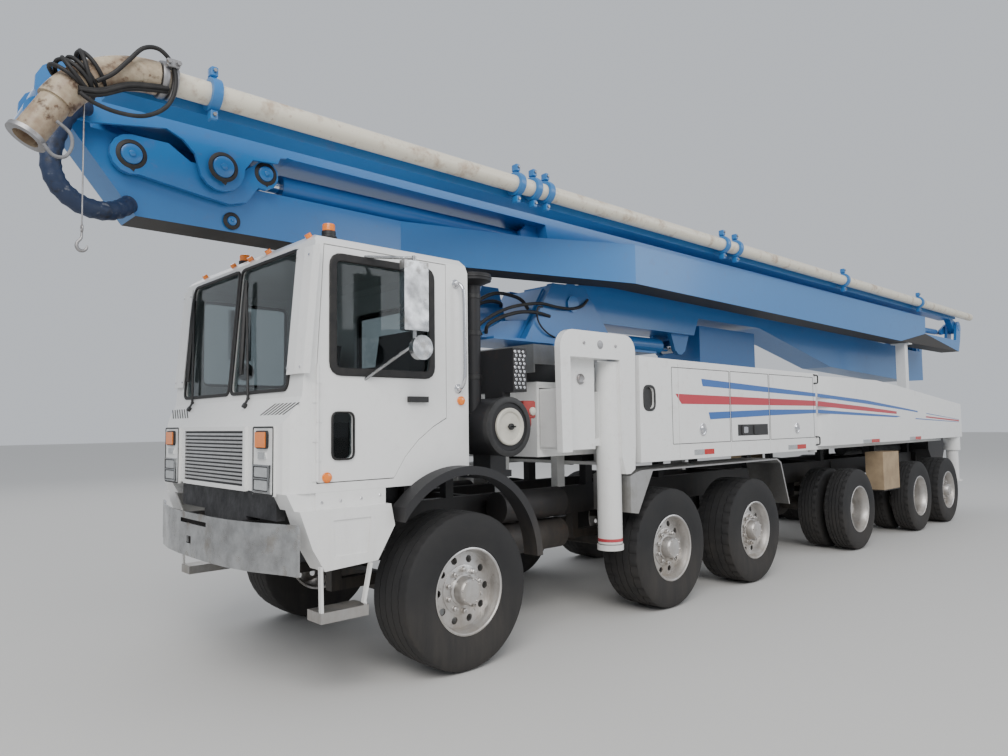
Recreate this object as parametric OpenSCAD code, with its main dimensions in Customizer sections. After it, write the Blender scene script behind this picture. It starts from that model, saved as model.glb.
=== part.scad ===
// Six-axle truck with a four-section roll-and-fold concrete pump boom, stowed for the road.
// Stations run forward from axle 1, heights run up from the ground, and y is the truck's left.

/* [Running gear] */
// Distance of axle 2 behind axle 1
axle_2_back = 2430; // [2300:10:2550]
// Distance of axle 3 behind axle 1
axle_3_back = 3950; // [3800:10:4050]
// Distance of axle 4 behind axle 1
axle_4_back = 6680; // [6600:10:6750]
// Distance of axle 5 behind axle 1
axle_5_back = 8960; // [8850:10:9050]
// Distance of axle 6 behind axle 1
axle_6_back = 10290; // [10200:10:10350]
// Radius of the wide tyres on axles 1 to 3
wide_tyre_r = 545; // [520:5:560]
// Width of a wide tyre
wide_tyre_w = 420; // [380:5:430]
// Radius of the tyres on axles 4 to 6
drive_tyre_r = 525; // [505:5:545]
// Width of a twin tyre
twin_tyre_w = 280; // [250:5:300]
// Pitch of the two tyres of a twin wheel
twin_pitch = 350; // [330:5:370]
// Distance from the centre plane to the outer face of every outer tyre
track_half = 1235; // [1220:5:1250]
// Radius of the rim under the tyre
rim_r = 285; // [275:5:295]
// Radius of the wheel bearing journals
spindle_r = 45; // [38:1:50]
// Distance from the centre plane to the kingpins
kingpin_y = 760; // [740:5:770]

/* [Chassis] */
// Height of the lower edge of the frame rails
rail_z0 = 840; // [820:5:860]
// Height of the upper edge of the frame rails
rail_z1 = 1100; // [1080:5:1120]
// Distance from the centre plane to the outer face of a rail
rail_half = 430; // [410:5:440]
// Wall of a rail
rail_wall = 14; // [10:1:20]
// Front end of the rails
rail_front_x = 1150; // [1100:10:1180]
// Rear end of the rails, behind axle 1
rail_back = 11050; // [10950:10:11100]

/* [Cab] */
// Half the width of the cab
cab_half = 1080; // [1060:5:1100]
// Height of the cab's lower edge
cab_z0 = 1290; // [1280:5:1300]
// Height of the flat of the roof
cab_top = 2945; // [2940:5:2960]
// Thickness of the cab's walls and doors
cab_wall = 45; // [35:1:50]
// Gap round each door
door_gap = 6; // [5:1:10]

/* [Turret and boom] */
// Slewing axis, behind axle 1
slew_back = 2350; // [2330:10:2370]
// Top of the slewing ring
ring_top = 2480; // [2470:5:2490]
// Width of boom section 1
boom_1_w = 460; // [420:10:480]
// Width of boom section 3
boom_3_w = 300; // [280:5:310]
// Width of boom section 4
boom_4_w = 200; // [180:5:220]
// Underside of boom section 3 where it lies on its rest
boom_3_z0 = 2945; // [2940:1:2960]
// Radius of the delivery pipe on sections 3 and 4
pipe_r = 67; // [60:1:70]
// Radius of the large hinge pins
hinge_pin_r = 55; // [45:1:60]

/* [Fits] */
// Radial clearance of a running fit
fit = 0.05; // [0.02:0.01:0.1]
// Gap at which a piece lies on its seat
seat_gap = 0.3; // [0.2:0.05:0.4]
// Clearance between pieces that move past each other
run_gap = 10; // [6:1:14]

/* [Hidden] */
$fn = 48;

cab_white = "white";
boom_blue = "steelblue";
steel_dark = "dimgray";
rubber_black = [0.12, 0.12, 0.13];

// Joint centres in the plane of the boom, as [x, z]
slew_x = -slew_back;
pivot_1 = [-2100, 2870];
pivot_2 = [-12350, 3050];
pivot_3 = [2330, 3680];
pivot_4 = [-12450, 3400];
lift_base = [-2450, 2590];
lift_eye = [-4250, 2600];
knee_2_base = [-8300, 2790];
knee_2_eye = [-12060, 3110];
knee_3_base = [-1550, 3465];
knee_3_eye = [1100, 3465];
link_pin = [1960, 3400];
cheek_pin = [1415, 3423];
knee_4_base = [-10760, 3290];
knee_4_eye = [-12170, 3320];

// Planes of the boom, all as distances to the truck's left
head_y0 = -30;
head_y1 = head_y0 + boom_3_w;
head_mid = (head_y0 + head_y1) / 2;
link_wall = 40;
link_gap = 15;
web_wall = 25;
web_gap = 25;
web_y1 = head_y1 + link_gap + link_wall + web_gap + web_wall;
web_y0 = head_y0 - link_gap - link_wall - web_gap - web_wall;
boom_3_y1 = 900;
boom_3_y0 = boom_3_y1 - boom_3_w;
knee_2_y = -360;
knee_4_y = boom_3_y0 + 22;
fork_wall = 45;
boom_4_y1 = 900;
boom_4_y0 = boom_4_y1 - boom_4_w;
pipe_4_y = boom_4_y1 + 92;
pipe_4_z = 3620;
pipe_3_r = 60;
pipe_3_y = boom_3_y0 - 70;
pipe_3_z = 3125;
pipe_3_clamps = [-11400, -9800, -8200, -6600, -5000, -3400];
pipe_front_x = 2030;
pipe_back_x = -12800;
pipe_4_clamps = [1720, -720, -910, -1060, -3850, -4120, -7010, -9990];
pipe_clamp_r = 84;
elbow_tilt = 60;
elbow_bend_r = 554;
elbow_tail = 248;
elbow_r = 90;
tail_r = 76;
flange_r = 98;
flange_t = 22;
flange_c = [
    pipe_front_x + elbow_bend_r * sin(elbow_tilt) + elbow_tail * cos(elbow_tilt),
    pipe_4_z - elbow_bend_r * (1 - cos(elbow_tilt)) - elbow_tail * sin(elbow_tilt)
];

// The part's frame has its origin on the ground under the middle of its length
front_end_x = flange_c[0] + flange_r * sin(elbow_tilt);
rear_end_x = pipe_back_x;
mid_x = (front_end_x + rear_end_x) / 2;

module place() {
    translate([-mid_x, 0, 0]) children();
}

module both_sides() {
    children();
    mirror([0, 1, 0]) children();
}

// A plate or box from an outline of [x, z] points, between two distances to the left
module slab_y(outline, y0, y1) {
    translate([0, y1, 0]) rotate([90, 0, 0]) linear_extrude(y1 - y0) polygon(outline);
}

module box(x0, x1, y0, y1, z0, z1) {
    translate([x0, y0, z0]) cube([x1 - x0, y1 - y0, z1 - z0]);
}

// A round bar across the truck at [x, z]
module bar_y(c, r, y0, y1) {
    translate([c[0], y1, c[1]]) rotate([90, 0, 0]) cylinder(r = r, h = y1 - y0);
}

// A round bar between two points
module bar(p, q, r) {
    d = q - p;
    len = norm(d);
    translate(p)
        rotate([0, acos(d[2] / len), atan2(d[1], d[0])])
            cylinder(r = r, h = len);
}

// A pipe along a list of points, with a collar at each bend
module pipe_run(points, r) {
    for (i = [0 : len(points) - 2]) bar(points[i], points[i + 1], r);
    for (i = [1 : len(points) - 2]) translate(points[i]) sphere(r = r + 6);
}

// Corner points of a rectangle with rounded corners
function round_rect(x0, y0, x1, y1, r, n = 4) = [
    for (c = [[x1 - r, y1 - r, 0], [x0 + r, y1 - r, 90], [x0 + r, y0 + r, 180], [x1 - r, y0 + r, 270]])
        for (i = [0 : n]) [c[0] + r * cos(c[2] + i * 90 / n), c[1] + r * sin(c[2] + i * 90 / n)]
];

// Points of an arc about a centre, from angle a0 to a1
function arc(c, r, a0, a1, n = 8) = [
    for (i = [0 : n]) [c[0] + r * cos(a0 + (a1 - a0) * i / n), c[1] + r * sin(a0 + (a1 - a0) * i / n)]
];

// Wheels. Each is turned about z with its inner face at 0 and put on its axle across the truck.
hub_in = 60;
spindle_end = 75;

module wheel_place(x, r, w, side) {
    translate([x, side * (track_half - w), r]) rotate([-90 * side, 0, 0]) children();
}

module tyre_ring(r, w, z0) {
    rotate_extrude() translate([0, z0]) polygon([
        [rim_r - 2, 25], [330, 5], [r - 95, 0], [r - 40, 12], [r - 9, 38], [r, 68],
        [r, w - 68], [r - 9, w - 38], [r - 40, w - 12], [r - 95, w], [330, w - 5], [rim_r - 2, w - 25]
    ]);
}

module rim_barrel(z0, z1) {
    translate([0, 0, z0]) difference() {
        cylinder(r = rim_r, h = z1 - z0);
        translate([0, 0, -1]) cylinder(r = rim_r - 18, h = z1 - z0 + 2);
    }
}

module disc_with_hub(disc_z, disc_t, hub_r, cap_r, cap_z, hole_ring, hole_r) {
    difference() {
        union() {
            translate([0, 0, disc_z]) cylinder(r = rim_r - 10, h = disc_t);
            translate([0, 0, hub_in]) cylinder(r = hub_r, h = disc_z + disc_t + 25 - hub_in);
            translate([0, 0, disc_z + disc_t]) cylinder(r = cap_r, h = cap_z - disc_z - disc_t);
        }
        for (i = [0 : 9]) rotate([0, 0, 36 * i + 18])
            translate([hole_ring, 0, disc_z - 1]) cylinder(r = hole_r, h = disc_t + 2);
    }
}

module wide_wheel(cap_r, cap_out) {
    w = wide_tyre_w;
    difference() {
        union() {
            tyre_ring(wide_tyre_r, w, 0);
            rim_barrel(18, w - 18);
            disc_with_hub(w - 115, 22, 130, cap_r, w - 18 + cap_out, 212, 26);
        }
        translate([0, 0, hub_in - 1]) cylinder(r = spindle_r + fit, h = w - spindle_end - hub_in + 1);
    }
}

module tag_wheel() {
    w = wide_tyre_w;
    difference() {
        union() {
            tyre_ring(drive_tyre_r, w, 0);
            rim_barrel(18, w - 18);
            disc_with_hub(w - 130, 22, 130, 95, w - 30, 212, 26);
        }
        translate([0, 0, hub_in - 1]) cylinder(r = spindle_r + fit, h = w - spindle_end - hub_in + 1);
    }
}

module twin_wheel() {
    w = twin_pitch + twin_tyre_w;
    difference() {
        union() {
            tyre_ring(drive_tyre_r, twin_tyre_w, 0);
            tyre_ring(drive_tyre_r, twin_tyre_w, twin_pitch);
            rim_barrel(18, w - 18);
            disc_with_hub(w - 270, 24, 125, 100, w - 120, 212, 26);
        }
        translate([0, 0, hub_in - 1]) cylinder(r = spindle_r + fit, h = w - 200 - hub_in + 1);
    }
}

module wheel_1(side) {
    color("gray") place() wheel_place(0, wide_tyre_r, wide_tyre_w, side) wide_wheel(95, -20);
}
module wheel_2(side) {
    color("gray") place() wheel_place(-axle_2_back, wide_tyre_r, wide_tyre_w, side) wide_wheel(90, -30);
}
module wheel_3(side) {
    color("gray") place() wheel_place(-axle_3_back, wide_tyre_r, wide_tyre_w, side) wide_wheel(85, -35);
}
module wheel_4(side) {
    color("gray") place()
        wheel_place(-axle_4_back, drive_tyre_r, twin_pitch + twin_tyre_w, side) twin_wheel();
}
module wheel_5(side) {
    color("gray") place()
        wheel_place(-axle_5_back, drive_tyre_r, twin_pitch + twin_tyre_w, side) twin_wheel();
}
module wheel_6(side) {
    color("gray") place() wheel_place(-axle_6_back, drive_tyre_r, wide_tyre_w, side) tag_wheel();
}

// Axles, with springs under the rails
straight_axles = [
    // [distance behind axle 1, tyre radius, width of the wheel]
    [axle_2_back, wide_tyre_r, wide_tyre_w],
    [axle_3_back, wide_tyre_r, wide_tyre_w],
    [axle_4_back, drive_tyre_r, twin_pitch + twin_tyre_w],
    [axle_5_back, drive_tyre_r, twin_pitch + twin_tyre_w],
    [axle_6_back, drive_tyre_r, wide_tyre_w]
];
spring_y0 = 350;
spring_y1 = 430;

module spring_pack(x, axle_z, half_len) {
    box(x - half_len, x + half_len, spring_y0, spring_y1, axle_z + 60, axle_z + 130);
    for (e = [-1, 1]) {
        xe = x + e * (half_len - 40);
        box(xe - 40, xe + 40, spring_y0, spring_y1, axle_z + 130, rail_z0);
    }
}

module axles() {
    color(steel_dark) place() {
        for (a = straight_axles) {
            inner = track_half - a[2];
            reach = a[2] > wide_tyre_w ? a[2] - 205 : a[2] - spindle_end - 5;
            difference() {
                union() {
                    bar_y([-a[0], a[1]], 70, -(inner + hub_in - run_gap), inner + hub_in - run_gap);
                    bar_y([-a[0], a[1]], spindle_r, -(inner + reach), inner + reach);
                }
            }
            both_sides() spring_pack(-a[0], a[1], 480);
        }
        for (a = [straight_axles[2], straight_axles[3]])
            translate([-a[0], 0, a[1]]) rotate([0, 90, 0]) cylinder(r = 190, h = 300, center = true);
        box(-60, 60, -kingpin_y + 90, kingpin_y - 90, 400, 520);
        both_sides() {
            box(-45, 45, kingpin_y - 150, kingpin_y - 30, 490, 600);
            difference() {
                union() {
                    translate([0, kingpin_y, 480]) cylinder(r = 60, h = 130);
                }
                translate([0, kingpin_y, 479]) cylinder(r = 25 + fit, h = 132);
            }
            box(-620, 620, spring_y0, spring_y1, 520, 600);
            for (e = [-1, 1]) box(e * 580 - 40, e * 580 + 40, spring_y0, spring_y1, 600, rail_z0);
        }
    }
}

module knuckle_solid() {
    z = wide_tyre_r;
    translate([0, kingpin_y, z - 120]) cylinder(r = 60, h = 50);
    translate([0, kingpin_y, z + 70]) cylinder(r = 60, h = 50);
    translate([0, kingpin_y, z - 120]) cylinder(r = 25, h = 240);
    box(-55, 55, kingpin_y, kingpin_y + 68, z - 120, z - 70);
    box(-55, 55, kingpin_y, kingpin_y + 68, z + 70, z + 120);
    box(-70, 70, kingpin_y + 66, kingpin_y + 96, z - 120, z + 120);
    bar_y([0, z], spindle_r, kingpin_y + 90, track_half - spindle_end - 5);
    box(-190, -60, kingpin_y + 66, kingpin_y + 96, z - 110, z - 80);
}

module knuckle_left() {
    color(steel_dark) place() knuckle_solid();
}
module knuckle_right() {
    color(steel_dark) place() mirror([0, 1, 0]) knuckle_solid();
}

// Frame rails are channels with their open side inwards
module rail() {
    difference() {
        box(-rail_back, rail_front_x, rail_half - 80, rail_half, rail_z0, rail_z1);
        box(-rail_back - 1, rail_front_x + 1, rail_half - 81, rail_half - rail_wall,
            rail_z0 + rail_wall, rail_z1 - rail_wall);
    }
}

deck_legs = [-2200, -3400, -5300, -7400, -9400, -10900];
cross_x = [1045, -900, -3200, -5300, -7900, -9650, -11010];

module chassis_frame() {
    color(steel_dark) place() {
        both_sides() {
            rail();
            box(1100, bumper_seat_x - seat_gap, rail_half - 60, rail_half, rail_z0 + 20, rail_z1 - 20);
            box(-8250, -7650, rail_half + seat_gap, 1180, 685, 699.7);
            box(-8250, -7650, rail_half + seat_gap, rail_half + 14, 700, rail_z1 - 20);
            for (x = [-60, 1000])
                box(x - 50, x + 50, rail_half - 80, rail_half, rail_z1 + seat_gap, cab_z0);
            for (x = deck_legs) box(x - 50, x + 50, rail_half - 80, rail_half, rail_z1 + seat_gap, deck_z0 - 30);
        }
        for (x = cross_x)
            box(x - 40, x + 40, -rail_half + rail_wall + seat_gap, rail_half - rail_wall - seat_gap,
                rail_z0 + 30, rail_z1 - 30);
        box(-rail_back - 30, -rail_back - seat_gap, -500, 500, 760, rail_z1);
        translate([-rail_back - 30, 0, 860]) rotate([0, -90, 0]) difference() {
            cylinder(r = 60, h = 90);
            translate([0, 0, 40]) rotate([90, 0, 0]) cylinder(r = 22, h = 140, center = true);
        }
    }
}

module engine() {
    color("gray") place() {
        box(-100, 950, -rail_half + 110, rail_half - 110, 740, 1265);
        box(1160, 1220, -800, 800, rail_z1 + 5, cab_z0 - 5);
        box(1160, 1220, -rail_half + 70, rail_half - 70, rail_z0 + 20, rail_z1 + 6);
        for (y = [-180, 180]) bar([940, y, 1180], [1165, y, 1180], 32);
        both_sides() for (x = [0, 800])
            box(x, x + 90, rail_half - 112, rail_half - rail_wall, rail_z0 + 60, rail_z0 + 130);
    }
}

// The bumper bulges forward between its ends
bumper_half = 1150;
bumper_end_x = 1255;
bumper_nose_x = 1440;
bumper_t = 14;
bumper_seat_x = bumper_nose_x - bumper_t - 14;
bumper_z0 = 815;
bumper_z1 = 1115;

function bumper_line(back) = concat(
    [[bumper_end_x - back, -bumper_half]],
    [for (i = [-4 : 4])
        [bumper_nose_x - back - (bumper_nose_x - bumper_end_x - 25) * pow(abs(i) / 4, 3), i * 260]],
    [[bumper_end_x - back, bumper_half]]
);

module front_bumper() {
    back_line = bumper_line(bumper_t);
    color("silver") place() difference() {
        translate([0, 0, bumper_z0]) linear_extrude(bumper_z1 - bumper_z0)
            polygon(concat(bumper_line(0), [for (i = [len(back_line) - 1 : -1 : 0]) back_line[i]]));
        box(bumper_nose_x - 100, bumper_nose_x + 1, -230, 230, bumper_z1 - 75, bumper_z1 - 45);
        box(bumper_nose_x - 100, bumper_nose_x + 1, -110, -30, bumper_z0 + 90, bumper_z0 + 140);
    }
}

// Cab, as a lower part and an upper part behind the sloping windscreen
cab_rear_x = -120;
cab_nose_x = 1290;
nose_r = 130;
screen_z0 = 1880;
screen_x0 = 1192;
screen_x1 = 1112;

function screen_at(z) = screen_x0 + (screen_x1 - screen_x0) * (z - screen_z0) / (2800 - screen_z0);

module cab_body(e) {
    intersection() {
        slab_y([
            [cab_rear_x + e, cab_z0 + e], [cab_nose_x - e, cab_z0 + e], [cab_nose_x - e, 1700],
            [screen_x0 - e, screen_z0], [screen_x1 - e, 2800], [screen_x1 - 6 - e, 2865 - e],
            [screen_x1 - 27 - e, 2888 - e], [screen_x1 - 75 - e, 2925 - e], [screen_x1 - 150 - e, cab_top - e],
            [60, cab_top - e], [cab_rear_x + 40 + e, cab_top - 50 - e], [cab_rear_x + e, 2800]
        ], -cab_half - 1, cab_half + 1);
        translate([0, 0, cab_z0 - 1]) linear_extrude(2000) polygon(concat(
            [[cab_rear_x - 1 + e, -cab_half + e]],
            arc([cab_nose_x - nose_r, -cab_half + nose_r], nose_r - e, -90, 0, 4),
            arc([cab_nose_x - nose_r, cab_half - nose_r], nose_r - e, 0, 90, 4),
            [[cab_rear_x - 1 + e, cab_half - e]]
        ));
        rotate([90, 0, 90]) translate([0, 0, -400]) linear_extrude(2000) polygon([
            [-cab_half + e, cab_z0 - 1], [cab_half - e, cab_z0 - 1], [cab_half - e, 2850 - e / 2],
            [cab_half - 45 - e, 2895 - e], [cab_half - 150 - e, cab_top - 18 - e],
            [cab_half - 320, cab_top - e + 1], [-cab_half + 320, cab_top - e + 1],
            [-cab_half + 150 + e, cab_top - 18 - e], [-cab_half + 45 + e, 2895 - e], [-cab_half + e, 2850 - e / 2]
        ]);
    }
}

// Outline of the left door opening, as [x, z] points
door_front_x = 1098;
door_rear_x = 80;
door_top = 2840;
function door_outline(g) = [
    [door_front_x - g, 1345 + g], [door_front_x - g, 2080], [door_front_x - 46 - g, door_top - g],
    [door_rear_x + g, door_top - g],
    [door_rear_x + g, 1740 + g], [200, 1680 + g], [330, 1590 + g], [440, 1480 + g], [530, 1345 + g]
];
door_window = [215, 2040, 985, 2765];

// The door's hinge runs up its straight front edge, as knuckles of the shell and the door in turn
hinge_z = [for (i = [0 : 5]) 1360 + i * 120];
knuckle_h = 118;
door_hinge_x = door_front_x - 3;
door_hinge_y = cab_half + 9.5;

module door_knuckle(z, side) {
    translate([door_hinge_x, door_hinge_y, z]) cylinder(r = 9, h = knuckle_h);
    box(door_hinge_x + (side > 0 ? 2 : -32), door_hinge_x + (side > 0 ? 32 : -4), cab_half - 1, cab_half + 4,
        z, z + knuckle_h);
}

module screen_hole() {
    for (s = [0, 1]) mirror([0, s, 0])
        translate([900, 0, 0]) rotate([90, 0, 90])
            linear_extrude(500) polygon(round_rect(12, 1925, 885, 2830, 60));
    translate([-300, 0, 0]) rotate([90, 0, 90])
        linear_extrude(400) polygon(round_rect(-400, 2150, 400, 2650, 60));
}

module cab_shell() {
    color(cab_white) place() difference() {
        union() {
            difference() {
                cab_body(0);
                cab_body(cab_wall);
                for (s = [0, 1]) mirror([0, s, 0])
                    slab_y(door_outline(0), cab_half - cab_wall - 5, cab_half + 1);
            }
            both_sides() for (i = [0, 2, 4]) difference() {
                door_knuckle(hinge_z[i], 1);
                translate([door_hinge_x, door_hinge_y, hinge_z[i] - 1]) cylinder(r = 5 + fit, h = knuckle_h + 2);
            }
        }
        screen_hole();
        bar_y([0, 680], 660, -cab_half - 1, cab_half + 1);
    }
}

module cab_glass() {
    color([0.6, 0.7, 0.75, 0.5]) place() intersection() {
        difference() {
            cab_body(15);
            cab_body(23);
        }
        screen_hole();
    }
}

module seat(y) {
    box(150, 640, y - 240, y + 240, cab_z0 + cab_wall, 1720);
    slab_y([[150, 1720], [290, 1720], [190, 2380], [60, 2380]], y - 230, y + 230);
}

dash_half = cab_half - cab_wall - 75;
module cab_interior() {
    color(steel_dark) place() {
        seat(620);
        seat(-620);
        box(150, 950, -330, 330, cab_z0 + cab_wall, 1620);
        slab_y([[950, 1560], [950, 1760], [1000, 1880], [1100, 1880], [1170, 1700], [1170, 1560]],
            -dash_half, dash_half);
        bar([900, 620, 1800], [740, 620, 2010], 22);
        translate([740, 620, 2010]) rotate([0, -37, 0]) difference() {
            cylinder(r = 215, h = 26);
            translate([0, 0, -1]) cylinder(r = 190, h = 28);
        }
        translate([740, 620, 2010]) rotate([0, -37, 0]) box(-195, 195, -18, 18, 2, 22);
        bar([740, 620, 2010], [1000, 620, 1700], 20);
    }
}

// The cab's face: grille, headlamp units, wipers, corner deflectors and roof lamps
grille_half = 540;
grille_bars = 13;
lamp_y0 = 655;
lamp_y1 = 945;
screen_lean = atan((screen_x0 - screen_x1) / (2800 - screen_z0));
roof_lip = [(2 * screen_x1 - 102) / 2, 2906.5];
// [distance to the left of the foot, of the tip]
wipers = [[334, 141], [-682, -850]];
roof_lamps = [915, 340, 50, -250, -800];

module deflector() {
    translate([screen_at(2415), 0, 2415]) rotate([0, -screen_lean, 0]) {
        translate([0, 0, -400]) linear_extrude(800) polygon([
            [24, 890], [27, 1000], [18, 1092], [0, 1145], [-6, 1143], [11, 1089], [21, 998], [18, 890]
        ]);
        for (z = [-300, 300]) box(seat_gap, 20, 905, 925, z - 15, z + 15);
    }
}

module headlamp_unit() {
    box(cab_nose_x + seat_gap, cab_nose_x + 20, lamp_y0, lamp_y1, 1275, 1700);
    difference() {
        box(cab_nose_x + 19, cab_nose_x + 38, lamp_y0 + 30, lamp_y1 - 30, 1292, 1464);
        for (z = [1302, 1382]) box(cab_nose_x + 28, cab_nose_x + 39, lamp_y0 + 45, lamp_y1 - 45, z, z + 72);
    }
    box(cab_nose_x + 19, cab_nose_x + 44, lamp_y0 + 75, lamp_y1 - 75, 1570, 1665);
    box(cab_nose_x + 19, cab_nose_x + 32, lamp_y0 + 95, lamp_y1 - 95, 1500, 1540);
}

module cab_front() {
    color("lightgray") place() {
        difference() {
            box(cab_nose_x + seat_gap, cab_nose_x + 24, -grille_half, grille_half, 1285, 1699);
            box(cab_nose_x + 6, cab_nose_x + 25, -grille_half + 30, grille_half - 30, 1315, 1672);
        }
        for (i = [0 : grille_bars - 1])
            box(cab_nose_x + 5, cab_nose_x + 20, -grille_half + 30, grille_half - 30,
                1330 + i * 26, 1344 + i * 26);
        both_sides() {
            headlamp_unit();
            deflector();
        }
        for (y = roof_lamps)
            bar([roof_lip[0] + 0.3, y, roof_lip[1] + 0.4], [roof_lip[0] + 17, y, roof_lip[1] + 22], 22);
        for (w = wipers) {
            bar([screen_at(1890) + 13, w[0], 1890], [screen_at(2690) + 13, w[1], 2690], 9);
            translate([screen_at(1890) + 13, w[0], 1890]) sphere(r = 12);
            bar([screen_at(1890) + 13, w[0], 1890], [1230, w[0], 1842], 8);
            bar([1217, w[0], 1835.3], [1238, w[0], 1846.8], 18);
        }
    }
}

step_pan = [[1235, 1190], [1150, 960], [1067, 820], [690, 840], [560, 1050], [590, 1190]];
step_pan_hollow = [[1215, 1174], [1138, 968], [1058, 836], [698, 856], [577, 1056], [604, 1174]];

module cab_steps() {
    color(cab_white) place() both_sides() {
        difference() {
            slab_y(step_pan, 950, 1135);
            slab_y(step_pan_hollow, 940, 1119);
            slab_y([[1010, 1120], [1000, 900], [760, 900], [740, 1120]], 1127, 1136);
        }
        box(595, 1100, 1062, 1079, 1189, cab_z0 - seat_gap);
        slab_y([[1285, cab_z0 - seat_gap], [1235, 1189], [1095, 1189], [1095, cab_z0 - seat_gap]], 880, 1065);
        slab_y([[1090, 852], [1107, 852], [1100, 567], [1083, 567]], 1120, 1150);
        slab_y([[739, 832], [757, 836], [808, 594], [790, 594]], 1120, 1150);
        box(770, 1101, 980, 1150, 515, 580);
        box(785, 800, 1120, 1150, 579, 600);
        difference() {
            bar_y([0, 680], 725, cab_half + seat_gap, 1225, $fn = 144);
            bar_y([0, 680], 665, 950, 1235, $fn = 144);
            box(-900, 900, 900, 1300, -200, 700);
            box(540, 1000, 900, 1300, 600, 1300);
        }
    }
}

stack_x = -270;
stack_y = 966;
cleaner_c = [-410, 1675];
module side_gear() {
    color(rubber_black) place() {
        translate([stack_x, stack_y, cleaner_c[1]]) cylinder(r = 56, h = 2750 - cleaner_c[1]);
        translate([stack_x, stack_y, 2740]) cylinder(r1 = 56, r2 = 140, h = 35);
        translate([stack_x, stack_y, 2775]) cylinder(r = 140, h = 50);
        bar_y(cleaner_c, 215, 800, 1200);
        box(-600, -455, 700, 1200, 1935, 2265);
        box(-520, -440, 900, 1100, 1850, 1940);
        both_sides() {
            bar([-1540, 620, 1000], [-800, 620, 1000], 130);
            bar([-1540, 620, 730], [-800, 620, 730], 130);
            box(-1300, -1200, 430, 520, 700, 1060);
        }
        box(-620, -310, 350, 1000, 1290, 1340);
        box(-560, -400, 800, 1000, 1330, 1530);
        box(-500, -420, 350, 430, rail_z1, 1300);
    }
}

// Outriggers. The front pair slides out of a housing, the rear pair swings.
front_leg_x = -1665;
front_leg_y = 1115;
front_leg_r = 105;
jack_r = 85;
sleeve_z0 = 670;
sleeve_z1 = 2215;
foot_z0 = 615;
beam_z0 = 1480;
beam_z1 = 1980;
beam_x0 = -1420;
beam_w = 380;
beam_pitch = 420;
housing_half = 910;
leg_frame_y0 = 1185;
leg_frame_y1 = 1245;

module front_outrigger_box() {
    color(cab_white) place() {
        difference() {
            box(beam_x0 - beam_pitch - 30, beam_x0 + beam_w + 40, -housing_half, housing_half,
                beam_z0 - 60, beam_z1 + 60);
            for (x = [beam_x0, beam_x0 - beam_pitch])
                box(x - run_gap, x + beam_w + run_gap, -housing_half - 1, housing_half + 1,
                    beam_z0 - seat_gap, beam_z1 + run_gap);
        }
        both_sides() for (x = [-1080, -1800])
            box(x - 50, x + 50, rail_half - 80, rail_half, rail_z1, beam_z0 - 60);
    }
}

// The frame round a front leg, as [x, z] points of an arch that is open downwards
function leg_arch() = concat(
    [[-945, 1465], [-932, 2300]],
    arc([-1082, 2300], 150, 15, 90, 5),
    arc([-1760, 2310], 140, 90, 180, 5),
    [[-1880, 1480], [-1865, 1290], [-1800, 1253], [-1740, 1253], [-1690, 1400], [-1680, 2230],
        [-1050, 2230], [-1060, 1465]]
);

module front_outrigger_solid(x0) {
    difference() {
        union() {
            slab_y(leg_arch(), leg_frame_y0, leg_frame_y1);
            box(-1070, -1050, 1100, leg_frame_y0 + 1, 1475, 2250);
            box(-1670, -1060, 1100, leg_frame_y0 + 1, 2230, 2250);
            box(-1480, -1055, 1100, 1125, 1475, 2245);
            slab_y([[-1690, 2250], [-1690, 1420], [-1780, 1300], [-1870, 1480], [-1890, 2250]],
                1100, leg_frame_y0 + 1);
            box(x0, x0 + beam_w, -housing_half + 20, 1105, beam_z0, beam_z1);
            box(-1860, -1030, housing_half + run_gap, 1105, beam_z0 + 20, beam_z1 - 20);
            translate([front_leg_x, front_leg_y, sleeve_z0]) cylinder(r = front_leg_r, h = sleeve_z1 - sleeve_z0);
        }
        box(-1558, -1480, 1000, 1250, 1560, 2228);
        translate([front_leg_x, front_leg_y, sleeve_z0 - 1]) cylinder(r = jack_r + fit, h = 1430);
    }
}

module front_outrigger_left() {
    color(cab_white) place() front_outrigger_solid(beam_x0);
}
module front_outrigger_right() {
    color(cab_white) place() mirror([0, 1, 0]) front_outrigger_solid(beam_x0 - beam_pitch);
}

module jack(x, y, z_top) {
    translate([x, y, foot_z0 + 25]) cylinder(r = jack_r, h = z_top - foot_z0 - 25);
    translate([x, y, foot_z0]) cylinder(r = 113, h = 45);
}

module front_leg_left() {
    color(cab_white) place() jack(front_leg_x, front_leg_y, 2050);
}
module front_leg_right() {
    color(cab_white) place() mirror([0, 1, 0]) jack(front_leg_x, front_leg_y, 2050);
}

swing_x = -5660;
swing_y = 1080;
swing_r = 140;
rear_leg_x = -10960;
rear_leg_y = 1110;

module rear_outrigger_solid() {
    difference() {
        union() {
            intersection() {
                slab_y([
                    [swing_x, 1375], [swing_x, 2230], [-7350, 2230], [-8090, 2180], [-11080, 1930],
                    [-11080, 1375]
                ], 960, 1240);
                translate([0, 0, 1300]) linear_extrude(1000) polygon([
                    [swing_x, swing_y + swing_r], [swing_x, swing_y - swing_r],
                    [-11100, 985], [-11100, 1240], [-5900, 1240]
                ]);
            }
            translate([swing_x, swing_y, 1375]) cylinder(r = swing_r, h = 855);
            translate([rear_leg_x, rear_leg_y, 1150]) cylinder(r = 125, h = 780);
        }
        translate([swing_x, swing_y, 1374]) cylinder(r = 50 + fit, h = 857);
        translate([rear_leg_x, rear_leg_y, 1149]) cylinder(r = 90 + fit, h = 700);
    }
}

module rear_outrigger_left() {
    color(cab_white) place() rear_outrigger_solid();
}
module rear_outrigger_right() {
    color(cab_white) place() mirror([0, 1, 0]) rear_outrigger_solid();
}

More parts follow.
